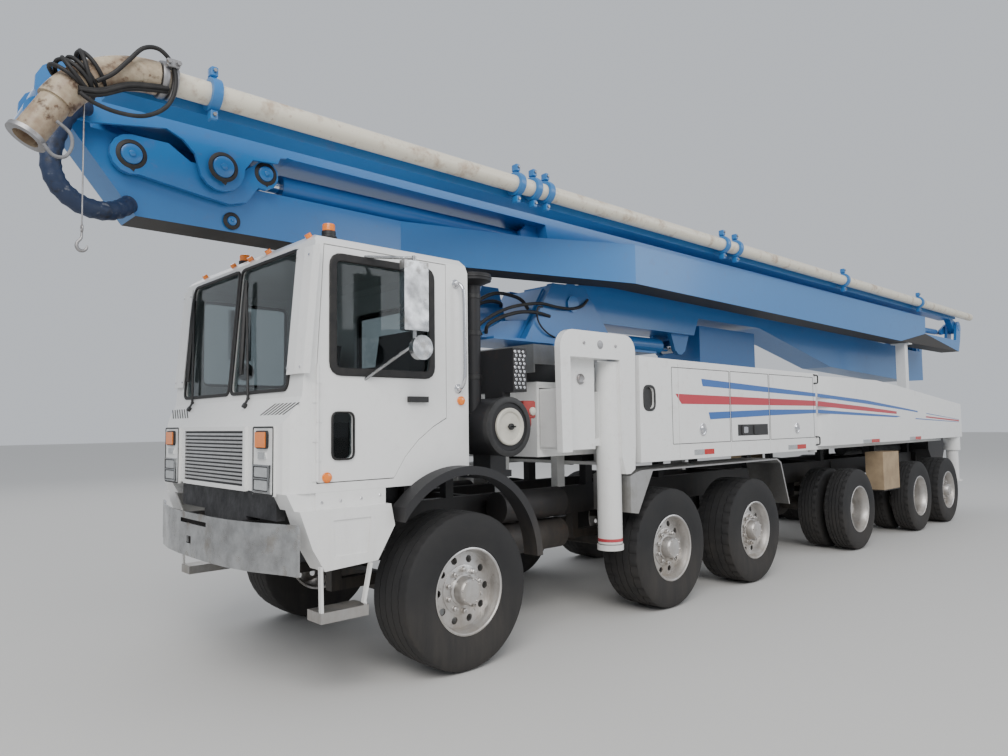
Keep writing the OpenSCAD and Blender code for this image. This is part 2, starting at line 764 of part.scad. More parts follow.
module rear_jack() {
    translate([rear_leg_x, rear_leg_y, 650]) cylinder(r = 90, h = 1150);
    translate([rear_leg_x, rear_leg_y, 625]) cylinder(r = 130, h = 27);
}

module rear_leg_left() {
    color(cab_white) place() rear_jack();
}
module rear_leg_right() {
    color(cab_white) place() mirror([0, 1, 0]) rear_jack();
}

// Deck: floor, side cabinets and the lugs that carry the swing outriggers
deck_z0 = 1340;
front_deck_half = 990;
pedestal_top = 2250;
module deck_cabinets() {
    color(cab_white) place() {
        box(-11000, -1880, -930, 930, deck_z0 - 30, deck_z0);
        box(-1690, -890, -front_deck_half, front_deck_half, 2300, 2340);
        box(-905, -890, -front_deck_half, front_deck_half, 2110, 2301);
        box(-1680, -1310, -490, 490, pedestal_top + seat_gap, 2301);
        both_sides() {
            box(-1690, -890, front_deck_half - 15, front_deck_half, 2180, 2301);
            difference() {
                slab_y([[-1960, deck_z0 + seat_gap], [-1960, 2280], [-5460, 2250], [-5460, deck_z0 + seat_gap]],
                    700, 1240);
                for (x = [-2560, -3480, -4300]) box(x - 4, x + 4, 1230, 1241, deck_z0 + 20, 2235);
                slab_y(round_rect(-2170, 1810, -2030, 2010, 65), 1222, 1241);
            }
            box(-5740, -5460 - seat_gap, 700, 930, deck_z0 + seat_gap, 2270);
            box(-5720, -5580, 925, 1160, deck_z0 + seat_gap, 1365);
            box(-5720, -5580, 925, 1160, 2240, 2270);
            translate([swing_x, swing_y, 1300]) cylinder(r = 50, h = 960);
            box(-9400, -5740 - seat_gap, 840, 930, deck_z0 + seat_gap, 2080);
        }
    }
}

module fenders() {
    color("silver") place() both_sides() {
        difference() {
            slab_y([
                [-1795, 920], [-1795, 1235], [-1880, 1262], [-1960, 1275], [-4430, 1275], [-4520, 1230],
                [-4690, 760], [-4670, 760], [-4500, 1220], [-4420, 1262], [-2120, 1262], [-1898, 905]
            ], 830, 1245);
        }
        box(-3250, -3190, 700, 840, 1200, deck_z0 - 30);
    }
}

module turret_pedestal() {
    color("gray") place() {
        box(-3150, -1880, -620, 620, deck_z0, pedestal_top);
        translate([slew_x, 0, pedestal_top]) cylinder(r = 640, h = 110);
        box(-1900, -1300, -500, 500, 2045, pedestal_top);
    }
}

module oil_tank() {
    color(boom_blue) place() {
        box(-6000, -4640, -450, 180, deck_z0, 2880);
    }
}

module boom_rest() {
    color(cab_white) place() {
        box(-9920, -9780, 680, 820, deck_z0, boom_3_z0 - 20);
        box(-9930, -9770, 610, 890, boom_3_z0 - 20, boom_3_z0 - 0.3);
        box(-10700, -9400, 560, 900, deck_z0, 1400);
    }
}

module cribbing() {
    color("peru") place() both_sides() {
        for (i = [0 : 4]) box(-8250, -7650, 940, 1180, 700 + i * 105.3, 805 + i * 105.3);
    }
}

// Hopper at the tail, open at the top
hopper_top = 1900;
module hopper() {
    color(steel_dark) place() difference() {
        union() {
            slab_y([[-11090, 1150], [-11090, 1340], [-10950, 1900], [-12150, 1900], [-12000, 1200],
                [-11800, 900], [-11300, 900]], -700, 700);
            box(-11120, -rail_back - 30 - seat_gap, -450, 450, 930, 1300);
        }
        slab_y([[-11130, 1160], [-11130, 1340], [-10995, 1901], [-12110, 1901], [-11960, 1210],
            [-11780, 940], [-11320, 940]], -680, 680);
    }
}

module hopper_grate() {
    color(steel_dark) place() {
        for (i = [0 : 11])
            box(-12120, -11000, -660 + i * 118, -640 + i * 118, hopper_top + 17 + seat_gap, hopper_top + 35);
        for (x = [-12145, -11560, -10990]) box(x, x + 25, -690, 690, hopper_top + seat_gap, hopper_top + 17);
    }
}

module pump_unit() {
    color(steel_dark) place() {
        both_sides() bar([-10990, 230, rail_z1 - 30 + 100 + seat_gap], [-9620, 230, rail_z1 - 30 + 100 + seat_gap], 100);
    }
}

module door_solid() {
    difference() {
        union() {
            slab_y(door_outline(door_gap), cab_half - cab_wall, cab_half);
            for (i = [1, 3, 5]) {
                door_knuckle(hinge_z[i], -1);
                translate([door_hinge_x, door_hinge_y, hinge_z[i] - knuckle_h]) cylinder(r = 5, h = knuckle_h + 1);
            }
            box(260, 420, cab_half, cab_half + 30, 1850, 1890);
            bar([755, cab_half - 12, 2800], [540, 1330, 2775], 10);
            bar([755, cab_half - 12, 1990], [540, 1330, 2215], 10);
            translate([540, 1330, 2170]) cylinder(r = 14, h = 620);
            box(450, 640, 1312, 1365, 2300, 2750);
            bar_y([495, 2195], 80, 1318, 1362);
        }
        slab_y(round_rect(door_window[0], door_window[1], door_window[2], door_window[3], 60),
            cab_half - cab_wall - 1, cab_half + 1);
        slab_y(round_rect(840, 1490, 990, 1780, 40), cab_half - cab_wall - 1, cab_half + 1);
    }
}

module door_left() {
    color(cab_white) place() door_solid();
}
module door_right() {
    color(cab_white) place() mirror([0, 1, 0]) door_solid();
}

// Turret: two side plates on a base, with the boom's root and the lift cylinder between them
turret_y0 = 260;
turret_z0 = 2458;
turret_y1 = 340;

module turret() {
    color(boom_blue) place() {
        difference() {
            union() {
                translate([slew_x, 0, 2360.3]) cylinder(r = 620, h = turret_z0 - 2360.3 + 2);
                slab_y([[-1050, turret_z0], [-3500, turret_z0], [-3500, ring_top], [-1050, ring_top]],
                    -turret_y1, turret_y1);
                both_sides() {
                    slab_y(concat(
                        [[-1430, turret_z0], [-1830, 3050]],
                        arc(pivot_1, 205, 60, 120, 4),
                        [[-2300, 3060], [-2790, turret_z0]]
                    ), turret_y0, turret_y1);
                    bar_y(pivot_1, 205, turret_y0, turret_y1);
                }
                slab_y([[-1440, ring_top - 2], [-1790, 3000], [-1760, 3000], [-1410, ring_top - 2]],
                    -turret_y0 - 1, turret_y0 + 1);
                slab_y([[-900, ring_top - 5], [-1220, 2635], [-1700, 2690], [-1700, ring_top - 5]], -turret_y1, turret_y0 - 5);
                slab_y([[-1080, 2500], [-1080, 2600], [-1270, 3015], [-1480, 3015], [-1600, 2600], [-1600, 2500]],
                    -turret_y1 + 5, -60);
                for (s = [-1, 1]) slab_y([[lift_base[0] - 120, ring_top - 10], [lift_base[0] - 80, 2640],
                    [lift_base[0] + 80, 2640], [lift_base[0] + 120, ring_top - 10]], s * 150 - 25, s * 150 + 25);
                bar_y(lift_base, 45, -130, 130);
            }
            bar_y(pivot_1, hinge_pin_r + 25 + fit, -turret_y1 - 1, turret_y1 + 1);
        }
    }
}

boom_1_half = boom_1_w / 2;
module boom_1() {
    color(boom_blue) place() {
        difference() {
            union() {
                slab_y([
                    [-2000, 3080], [-2300, 3100], [-3000, 3210], [-6200, 3180], [-12000, 2990], [-12500, 2990],
                    [-12500, 2440], [-11600, 2400], [-8300, 2520], [-6050, 2955], [-4545, 2955], [-4440, 2740],
                    [-2400, 2740], [-2000, 2700]
                ], -boom_1_half, boom_1_half);
                bar_y(pivot_1, 200, -boom_1_half, boom_1_half);
                bar_y(pivot_1, hinge_pin_r + 25, -turret_y1 - 20, turret_y1 + 20);
                for (s = [-1, 1]) translate([0, s * 130, 0]) {
                    slab_y([[-4060, 2745], [-4440, 2745], [-4350, 2540], [-4150, 2540]], -25, 25);
                    bar_y(lift_eye, 100, -25, 25);
                }
                slab_y([[knee_2_base[0] - 120, 2600], [knee_2_base[0] + 120, 2600], [knee_2_base[0] + 60, 2900],
                    [knee_2_base[0] - 60, 2900]], -boom_1_half - 30, -boom_1_half + 2);
                bar_y(knee_2_base, 40, -boom_1_half - 190, -boom_1_half);
                for (s = [-1, 1]) bar_y(pivot_2, 160, s > 0 ? 150 : -boom_1_half, s > 0 ? boom_1_half : -150);
                for (s = [-1, 1]) slab_y([[-12200, 2985], [-12510, 2985], [-12510, 3050], [-12190, 3050]],
                    s > 0 ? 150 : -boom_1_half, s > 0 ? boom_1_half : -150);
            }
            slab_y([[-12090, 2890], [-12280, 2890], [-12510, 2740], [-12600, 2740], [-12600, 3300],
                [-12090, 3300]], -150, 150);
            bar_y(pivot_2, hinge_pin_r + fit, -boom_1_half - 1, boom_1_half + 1);
        }
    }
}

module boom_2() {
    color(boom_blue) place() {
        difference() {
            union() {
                slab_y([
                    [-12050, 3720], [-12100, 3660], [-12100, 3130], [-6500, 3250], [-1760, 3310], [-1700, 3590],
                    [900, 3600], [2050, 3720], [2050, 3745]
                ], web_y0, web_y1);
                for (y0 = [web_y0, web_y1 - web_wall])
                    slab_y(concat(
                        [[950, 3745], [950, 3600], [1000, 3590], [1020, 3545], [1200, 3530], [1255, 3450]],
                        arc(cheek_pin, 155, 190, 330, 6),
                        [[1590, 3480], [1665, 3554], [1770, 3600], [2190, 3525]],
                        arc(pivot_3, 165, 250, 450, 8),
                        [[2100, 3790]]
                    ), y0, y0 + web_wall);
                bar_y(cheek_pin, 80, web_y1 - 1, web_y1 + 26);
                bar_y(pivot_3, 90, web_y1 - 1, web_y1 + 22);
                bar_y(pivot_3, hinge_pin_r, web_y0, web_y1);
                slab_y([[-12110, 3130], [-12060, 3600], [-12200, 3200]], -130, 130);
                slab_y(concat(arc(pivot_2, 145, 110, 340, 10), [[-12060, 3140], [-12060, 3400]]), -140, 140);
                bar_y(pivot_2, hinge_pin_r, -290, 245);
                slab_y(concat(arc(pivot_2, 110, 80, 260, 6), arc(knee_2_eye, 80, 260, 440, 6)), -290, -250);
                for (y = [head_mid - 115, head_mid + 115])
                    slab_y([[-1760, 3400], [-1500, 3400], [-1480, 3520], [-1560, 3595], [-1760, 3595]],
                        y - 20, y + 20);
                bar_y(knee_3_base, 40, head_mid - 115, head_mid + 115);
            }
        }
    }
}

// Section 3 steps from under section 2 at the head out to the truck's left side
module boom_3() {
    color(boom_blue) place() {
        difference() {
            union() {
                intersection() {
                    slab_y([
                        [1915, 3030], [2280, 3500], [2400, 3640], [2190, 3680], [2180, 3530], [1850, 3520],
                        [1450, 3360], [-1300, 3360], [-2400, 3410], [-10600, 3440], [-10580, 3150], [-12500, 3150],
                        [-12400, boom_3_z0], [-9400, boom_3_z0], [-2400, 3030]
                    ], -100, 1000);
                    translate([0, 0, 2900]) linear_extrude(1000) polygon([
                        [2500, head_y0], [2500, head_y1], [-100, head_y1], [-2400, boom_3_y1],
                        [-12600, boom_3_y1], [-12600, boom_3_y0], [-2400, boom_3_y0], [-100, head_y0]
                    ]);
                }
                bar_y(pivot_3, 140, head_y0, head_y1);
                bar_y([2430, 3545], 100, head_y0, head_y1);
                bar_y([1305, 3105], 38, head_y1 - 1, head_y1 + 12);
                bar_y(link_pin, 45, head_y0 - link_gap - link_wall, head_y1 + link_gap + link_wall);
                for (y = [boom_3_y0 + 100, boom_3_y1 - fork_wall]) {
                    bar_y(pivot_4, 120, y, y + fork_wall);
                    slab_y([[-12250, 3140], [-12330, 3400], [-12570, 3400], [-12500, 3140]], y, y + fork_wall);
                }
                for (y = [knee_4_y - 77, knee_4_y + 57])
                    slab_y([[-10590, 3230], [-10700, 3350], [-10800, 3350], [-10860, 3230], [-10860, 3195],
                        [-10590, 3195]], y, y + 20);
                box(-10860, -10590, knee_4_y - 77, knee_4_y + 77, 3195, 3230);
                box(-10860, -10590, boom_3_y0, knee_4_y + 77, 3120, 3200);
                bar_y(knee_4_base, 25, knee_4_y - 77, knee_4_y + 77);
                for (x = pipe_3_clamps)
                    box(x - 25, x + 25, pipe_3_y + pipe_3_r + seat_gap, boom_3_y0 + 1, pipe_3_z - 30, pipe_3_z + 30);
            }
            bar_y(pivot_3, hinge_pin_r + fit, head_y0 - 1, head_y1 + 1);
            bar_y(pivot_4, hinge_pin_r + fit, boom_3_y0 - 1, boom_3_y1 + 1);
        }
    }
}

module knee_3_link() {
    color(boom_blue) place()
        for (y0 = [head_y1 + link_gap, head_y0 - link_gap - link_wall])
            difference() {
                union() {
                    slab_y(concat(
                        arc(link_pin, 125, 90, -110, 8),
                        [[1500, 3225], [1340, 3205], [1220, 3240]],
                        arc(knee_3_eye, 110, 290, 90, 6),
                        [[1250, 3450], [1600, 3435], [1740, 3525]]
                    ), y0, y0 + link_wall);
                }
                bar_y(link_pin, 45 + fit, y0 - 1, y0 + link_wall + 1);
            }
}

module boom_4() {
    color(boom_blue) place() {
        slab_y([[-12280, 3550], [-12250, 3720], [2180, 3720], [2230, 3660], [2230, 3530], [-12000, 3520]],
            boom_4_y0, boom_4_y1);
        slab_y(concat(arc(pivot_4, 110, 100, 320, 8), [[-12120, 3530], [-12240, 3560]]),
            boom_3_y0 + 100 + fork_wall + 5, boom_3_y1 - fork_wall - 5);
        bar_y(pivot_4, hinge_pin_r, boom_3_y0 + 55, boom_3_y1 + 8);
        slab_y(concat(arc(pivot_4, 90, 80, 280, 6), arc(knee_4_eye, 55, 260, 430, 6)),
            boom_3_y0 + 55, boom_3_y0 + 90);
        for (x = pipe_4_clamps) {
            difference() {
                bar([x - 25, pipe_4_y, pipe_4_z], [x + 25, pipe_4_y, pipe_4_z], pipe_clamp_r);
                bar([x - 26, pipe_4_y, pipe_4_z], [x + 26, pipe_4_y, pipe_4_z], pipe_r + seat_gap);
            }
            box(x - 25, x + 25, boom_4_y1 - 1, pipe_4_y - pipe_clamp_r + 8, pipe_4_z - 30, pipe_4_z + 30);
        }
    }
}

module pipe_4() {
    elbow_end = [pipe_front_x + elbow_bend_r * sin(elbow_tilt),
        pipe_4_z - elbow_bend_r * (1 - cos(elbow_tilt))];
    color("wheat") place() difference() {
        union() {
            bar([pipe_back_x, pipe_4_y, pipe_4_z], [pipe_front_x + 20, pipe_4_y, pipe_4_z], pipe_r);
            translate([pipe_front_x, pipe_4_y, pipe_4_z - elbow_bend_r]) rotate([90, 0, 0])
                rotate([0, 0, 90 - elbow_tilt]) rotate_extrude(angle = elbow_tilt)
                    translate([elbow_bend_r, 0]) circle(r = elbow_r);
            translate([elbow_end[0], pipe_4_y, elbow_end[1]]) rotate([0, 90 + elbow_tilt, 0])
                translate([0, 0, -20]) cylinder(r = tail_r, h = elbow_tail + 20);
            translate([flange_c[0], pipe_4_y, flange_c[1]]) rotate([0, 90 + elbow_tilt, 0])
                translate([0, 0, -flange_t]) cylinder(r = flange_r, h = flange_t);
        }
        translate([flange_c[0], pipe_4_y, flange_c[1]]) rotate([0, 90 + elbow_tilt, 0])
            translate([0, 0, -150]) cylinder(r = 62.5, h = 151);
    }
}

module pipe_3() {
    color("wheat") place() {
        pipe_run([[-12000, pipe_3_y, pipe_3_z], [-2400, pipe_3_y, pipe_3_z], [-150, -110, pipe_3_z],
            [1900, -110, pipe_3_z]], pipe_3_r);
    }
}

// A hydraulic barrel and its rod between two eyes [x, z]. The rod reaches back into the barrel's bore.
function along(p, q, d) = p + (q - p) * d / norm(q - p);

module barrel(p, q, y, r, rod_r, open_end, bore_len, eye_r, eye_half, pin_r) {
    tip = along(p, q, norm(q - p) - open_end);
    root = along(p, q, norm(q - p) - open_end - bore_len);
    past = along(p, q, norm(q - p) - open_end + 1);
    difference() {
        union() {
            bar([p[0], y, p[1]], [tip[0], y, tip[1]], r);
            bar_y(p, eye_r, y - eye_half, y + eye_half);
        }
        bar([root[0], y, root[1]], [past[0], y, past[1]], rod_r + fit);
        bar_y(p, pin_r + fit, y - eye_half - r, y + eye_half + r);
    }
}

module rod(p, q, y, r, inside, open_end, eye_r, eye_half) {
    root = along(p, q, norm(q - p) - open_end - inside);
    bar([root[0], y, root[1]], [q[0], y, q[1]], r);
    bar_y(q, eye_r, y - eye_half, y + eye_half);
}

module lift_barrel() {
    color(boom_blue) place() barrel(lift_base, lift_eye, 0, 90, 55, 250, 1250, 95, 110, 45);
}
module lift_rod() {
    color("silver") place() {
        rod(lift_base, lift_eye, 0, 55, 1200, 250, 85, 80);
        bar_y(lift_eye, 35, -100, 100);
    }
}

module knee_2_barrel() {
    color(boom_blue) place() barrel(knee_2_base, knee_2_eye, knee_2_y, 80, 45, 250, 1250, 80, 60, 40);
}
module knee_2_rod() {
    color("silver") place() {
        rod(knee_2_base, knee_2_eye, knee_2_y, 45, 1200, 250, 70, 45);
        bar_y(knee_2_eye, 35, knee_2_y - 60, -295);
    }
}

module knee_3_barrel() {
    color(boom_blue) place() barrel(knee_3_base, knee_3_eye, head_mid, 88, 50, 210, 1050, 70, 70, 40);
}
module knee_3_rod() {
    color("silver") place() {
        rod(knee_3_base, knee_3_eye, head_mid, 50, 1000, 210, 80, 60);
        bar_y(knee_3_eye, 40, head_y0 - 5, head_y1 + 5);
    }
}

module knee_4_barrel() {
    color(boom_blue) place() barrel(knee_4_base, knee_4_eye, knee_4_y, 52, 28, 180, 850, 52, 30, 25);
}
module knee_4_rod() {
    color("silver") place() {
        rod(knee_4_base, knee_4_eye, knee_4_y, 28, 800, 180, 48, 24);
        bar_y(knee_4_eye, 22, knee_4_y - 30, knee_4_y + 28);
    }
}

chassis_frame();
axles();
engine();
front_bumper();
cab_shell();
cab_interior();
cab_front();
cab_glass();
cab_steps();
side_gear();
front_outrigger_box();
deck_cabinets();
fenders();
turret_pedestal();
oil_tank();
hopper();
pump_unit();
boom_rest();
cribbing();
door_left();
door_right();
hopper_grate();
knuckle_left();
knuckle_right();
front_outrigger_left();
front_outrigger_right();
front_leg_left();
front_leg_right();
rear_outrigger_left();
rear_outrigger_right();
rear_leg_left();
rear_leg_right();
turret();
boom_1();
boom_2();
boom_3();
boom_4();
pipe_3();
pipe_4();
lift_barrel();
lift_rod();
knee_2_barrel();
knee_2_rod();
knee_3_barrel();
knee_3_rod();
knee_3_link();
knee_4_barrel();
knee_4_rod();
wheel_1(1);  // wheel_1_left
wheel_1(-1);  // wheel_1_right
wheel_2(1);  // wheel_2_left
wheel_2(-1);  // wheel_2_right
wheel_3(1);  // wheel_3_left
wheel_3(-1);  // wheel_3_right
wheel_4(1);  // wheel_4_left
wheel_4(-1);  // wheel_4_right
wheel_5(1);  // wheel_5_left
wheel_5(-1);  // wheel_5_right
wheel_6(1);  // wheel_6_left
wheel_6(-1);  // wheel_6_right
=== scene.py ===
"""Looks of a six-axle boom truck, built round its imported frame."""

import math

import bmesh
import bpy
import numpy as np
from bpy.props import FloatProperty, FloatVectorProperty, PointerProperty
from mathutils import Matrix, Vector


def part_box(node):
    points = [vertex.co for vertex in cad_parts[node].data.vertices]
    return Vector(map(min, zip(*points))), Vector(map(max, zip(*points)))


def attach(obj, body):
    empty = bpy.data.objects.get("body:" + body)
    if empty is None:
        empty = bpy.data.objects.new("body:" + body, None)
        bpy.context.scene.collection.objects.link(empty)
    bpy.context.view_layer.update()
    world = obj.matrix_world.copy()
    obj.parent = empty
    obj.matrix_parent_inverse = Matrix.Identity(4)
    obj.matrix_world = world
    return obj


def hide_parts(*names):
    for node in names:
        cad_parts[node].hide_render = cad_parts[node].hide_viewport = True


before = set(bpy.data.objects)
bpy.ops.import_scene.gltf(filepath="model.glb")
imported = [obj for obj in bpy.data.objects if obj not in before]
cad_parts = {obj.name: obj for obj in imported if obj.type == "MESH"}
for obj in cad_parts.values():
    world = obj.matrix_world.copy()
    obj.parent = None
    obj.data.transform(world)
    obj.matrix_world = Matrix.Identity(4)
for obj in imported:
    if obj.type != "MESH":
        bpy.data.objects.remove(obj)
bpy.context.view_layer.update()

bl_info = {
    "name": "Boom truck",
    "version": (1, 0, 0),
    "blender": (4, 5, 0),
    "location": "View3D > Sidebar > Boom truck",
    "description": "Dresses the frame of a boom truck with surfaces and finishes",
    "category": "Object",
}

TAU = 2 * math.pi
TINY = 1e-12
WELD = 1e-6


def middle(node):
    """Centre of a frame node's box."""
    low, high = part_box(node)
    return (low + high) / 2


# Stations are measured forward from axle 1, as on a drawing of the truck
AXLE_1_X = middle("wheel_1_left").x
NOSE_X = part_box("cab_shell")[1].x - AXLE_1_X
COWL_FOOT = 1.700
SCREEN_FOOT = (1.192, 1.880)
SCREEN_LEAN = 0.080 / 0.920
REAR_PANEL_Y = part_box("rear_outrigger_left")[1].y


def at(x, y, z):
    """A point given by its station, its distance to the left and its height, in the row frame."""
    return (x + AXLE_1_X, y, z)


# Mesh helpers


def mesh_object(name, verts, faces, material):
    """A smooth-shaded object from vertex rows and face index rows, with one material."""
    mesh = bpy.data.meshes.new(name)
    mesh.from_pydata([tuple(v) for v in np.asarray(verts, float)], [], [tuple(f) for f in faces])
    mesh.validate()
    mesh.materials.append(material)
    mesh.polygons.foreach_set("use_smooth", [True] * len(mesh.polygons))
    obj = bpy.data.objects.new(name, mesh)
    bpy.context.scene.collection.objects.link(obj)
    return obj


def loft_faces(rows, cols, ring, start):
    """Quads between the closed rows of a grid. A ring's last row joins its first, else both get a cap."""
    row = np.arange(rows if ring else rows - 1)[:, None]
    col = np.arange(cols)[None]
    low, high = row * cols, (row + 1) % rows * cols
    ahead = (col + 1) % cols
    quads = np.stack([low + col, low + ahead, high + ahead, high + col], -1).reshape(-1, 4) + start
    faces = [tuple(q) for q in quads.tolist()]
    if not ring:
        faces.append(tuple(range(start + cols - 1, start - 1, -1)))
        faces.append(tuple(range(start + (rows - 1) * cols, start + rows * cols)))
    return faces


class Parts:
    """Collects closed shells that become one object."""

    def __init__(self):
        self.verts = []
        self.faces = []
        self.count = 0

    def add(self, grid, ring=False):
        """A shell from a grid of points with shape (rows, cols, 3)."""
        rows, cols = grid.shape[:2]
        self.faces += loft_faces(rows, cols, ring, self.count)
        self.verts.append(grid.reshape(-1, 3))
        self.count += rows * cols

    def make(self, name, look, body, smooth_deg=35, slot=None):
        """The object with every face turned outwards and smooth below an angle, riding on a body."""
        obj = mesh_object(name, np.concatenate(self.verts), self.faces, LOOKS[look])
        bm = bmesh.new()
        bm.from_mesh(obj.data)
        bmesh.ops.remove_doubles(bm, verts=bm.verts, dist=WELD)
        bmesh.ops.recalc_face_normals(bm, faces=bm.faces)
        bm.to_mesh(obj.data)
        bm.free()
        obj.data.set_sharp_from_angle(angle=math.radians(smooth_deg))
        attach(obj, body)
        return obj


def unit(rows):
    """Rows of vectors, each at length 1."""
    return rows / (np.linalg.norm(rows, axis=1)[:, None] + TINY)


def basis(direction):
    """Two unit vectors square to a direction, and the direction as a unit vector."""
    d = np.asarray(direction, float)
    d = d / np.linalg.norm(d)
    help_axis = np.array([0, 0, 1.0]) if abs(d[2]) < 0.9 else np.array([1.0, 0, 0])
    a = np.cross(help_axis, d)
    a /= np.linalg.norm(a)
    return a, np.cross(d, a), d


def turned(profile, centre, axis, sides=32):
    """A profile carried round an axis: p = centre + distance * axis + radius * (cos a, sin a)."""
    a, b, d = basis(axis)
    radius, distance = np.asarray(profile, float).T[..., None, None]
    ang = np.linspace(0, TAU, sides, endpoint=False)[:, None]
    return np.asarray(centre, float) + distance * d + radius * (np.cos(ang) * a + np.sin(ang) * b)


def disc_profile(radius, depth, bevel=0.004):
    """A bevelled round plug, as (radius, distance) rows from its seat to its face."""
    b = min(bevel, radius * 0.4, depth * 0.4)
    return [(radius, 0), (radius, depth - b), (radius - b, depth), (radius * 0.02, depth)]


def rounded(points, radius=0.0, steps=4):
    """An outline with each corner replaced by a curve of the radius, as an array of 2D points."""
    pts = np.asarray(points, float)
    if radius <= 0:
        return pts
    out = []
    t = np.linspace(0, 1, steps + 1)[:, None]
    for before, p, after in zip(np.roll(pts, 1, 0), pts, np.roll(pts, -1, 0)):
        u, v = before - p, after - p
        lu, lv = np.linalg.norm(u), np.linalg.norm(v)
        r = min(radius, lu * 0.45, lv * 0.45)
        out.append((1 - t) ** 2 * (p + u / lu * r) + 2 * t * (1 - t) * p + t**2 * (p + v / lv * r))
    return np.concatenate(out)


def inset(outline, amount):
    """An outline moved inwards by the amount, each point along the mean of its two edge normals."""
    p = np.asarray(outline, float)
    after = np.roll(p, -1, 0)
    n1, n2 = (unit(np.stack([-e[:, 1], e[:, 0]], 1)) for e in (p - np.roll(p, 1, 0), after - p))
    n = unit(n1 + n2)
    mitre = 1 / np.maximum(0.5, (n * n1).sum(1))[:, None]
    area = 0.5 * np.sum(p[:, 0] * after[:, 1] - after[:, 0] * p[:, 1])
    return p + n * mitre * amount * (1 if area > 0 else -1)


def block(low, high, bevel=0.004):
    """A box with bevelled upright and level edges, as rings of its plan from bottom to top."""
    lo, hi = np.minimum(low, high), np.maximum(low, high)
    b = min(bevel, *(0.45 * (hi - lo)))
    plan = rounded([(lo[0], lo[1]), (hi[0], lo[1]), (hi[0], hi[1]), (lo[0], hi[1])], b, 2)
    small = inset(plan, b)
    levels = [(small, lo[2]), (plan, lo[2] + b), (plan, hi[2] - b), (small, hi[2])]
    return np.array([[at(x, y, z) for x, y in ring] for ring, z in levels])


def sweep(points, radius, sides=10, closed=False, smooth_path=0):
    """A round tube along points, as rings square to the path without twist. The radius may vary by point."""
    p = np.asarray(points, float)
    if smooth_path:
        stops = len(p)
        p = spline(p, smooth_path)
        if np.ndim(radius):
            radius = np.interp(np.linspace(0, stops - 1, len(p)), np.arange(stops), radius)
    ahead = np.roll(p, -1, 0) - p
    behind = np.roll(ahead, 1, 0)
    if not closed:
        ahead[-1], behind[0] = behind[-1], ahead[0]
    a = None
    rings = []
    ang = np.linspace(0, TAU, sides, endpoint=False)[:, None]
    for place, way, r in zip(p, unit(unit(ahead) + unit(behind)), np.broadcast_to(radius, len(p))):
        a = basis(way)[0] if a is None else a - way * (a @ way)
        a /= np.linalg.norm(a)
        rings.append(place + r * (np.cos(ang) * a + np.sin(ang) * np.cross(way, a)))
    return np.array(rings)


def spline(p, steps):
    """A Catmull-Rom curve through the points, with a number of steps in each span."""
    p = np.asarray(p, float)
    t = np.linspace(0, 1, steps, endpoint=False)[:, None]
    ends = np.concatenate([p[:1], p, p[-1:]])
    out = []
    for a, b, c, d in zip(ends, ends[1:], ends[2:], ends[3:]):
        out.append(0.5 * (2 * b + (c - a) * t + (2 * a - 5 * b + 4 * c - d) * t**2
                          + (3 * b - a - 3 * c + d) * t**3))
    return np.concatenate([*out, p[-1:]])


def on_side(y, side=1):
    """Places (station, height) points on the upright plane at distance y, with depth outwards."""
    def place(points, depth):
        return np.array([at(x, side * (y + depth), z) for x, z in points])
    return place


def on_front(x, way=1):
    """Places (left, height) points on the upright plane at station x, with depth forward, or back."""
    def place(points, depth):
        return np.array([at(x + way * depth, y, z) for y, z in points])
    return place


def on_screen(points, depth):
    """Places (left, height) points on the leaning windscreen: station = foot - lean * rise + depth."""
    foot, height = SCREEN_FOOT
    return np.array([at(foot - SCREEN_LEAN * (z - height) + depth, y, z) for y, z in points])


def on_cowl(points, depth):
    """Places (left, height) points on the slope under the windscreen, with depth square to it."""
    lean = (NOSE_X - SCREEN_FOOT[0]) / (SCREEN_FOOT[1] - COWL_FOOT)
    c, s = 1 / math.hypot(1, lean), lean / math.hypot(1, lean)
    return np.array([at(NOSE_X - lean * (z - COWL_FOOT) + c * depth, y, z + s * depth) for y, z in points])


def plate(outline, depth, place, bevel=0.003):
    """A bevelled plate from an outline, put in space by a placing function."""
    b = min(bevel, depth * 0.45)
    return np.array([place(outline, 0.0), place(outline, depth - b), place(inset(outline, b), depth)])


def band(outline, width, depth, place, bevel=0.004):
    """A raised frame between an outline and the same outline moved inwards, as the rings of a closed grid."""
    b = min(bevel, width * 0.3, depth * 0.45)
    rows = ((0, 0), (0, depth - b), (b, depth), (width - b, depth), (width, depth - b), (width, 0))
    return np.array([place(inset(outline, step), d) for step, d in rows])


def rectangle(left, foot, right, top, radius=0.0):
    """Outline of a rectangle with rounded corners."""
    return rounded([(left, foot), (right, foot), (right, top), (left, top)], radius)


def oval(centre, half_width, half_height, steps=28):
    """Outline of an ellipse: centre + (half_width * cos a, half_height * sin a)."""
    a = np.linspace(0, TAU, steps, endpoint=False)
    return np.stack([centre[0] + half_width * np.cos(a), centre[1] + half_height * np.sin(a)], 1)


def lens_profile(radius, depth):
    """A round lamp's rim and domed lens, as (radius, distance) rows."""
    return [(radius, 0), (radius, depth * 0.5), (radius * 0.93, depth * 0.62), (radius * 0.86, depth * 0.55),
            (radius * 0.78, depth * 0.8), (radius * 0.45, depth * 0.97), (radius * 0.02, depth)]


def screw(place, axis, radius=0.011, depth=0.007):
    """A six-sided bolt head on its seat."""
    return turned(disc_profile(radius, depth, 0.002), place, axis, 6)


def both(parts, grid, ring=False):
    """Adds a shell and its mirror image on the truck's other side to a collection."""
    parts.add(grid, ring)
    parts.add(grid * np.array([1, -1, 1]), ring)


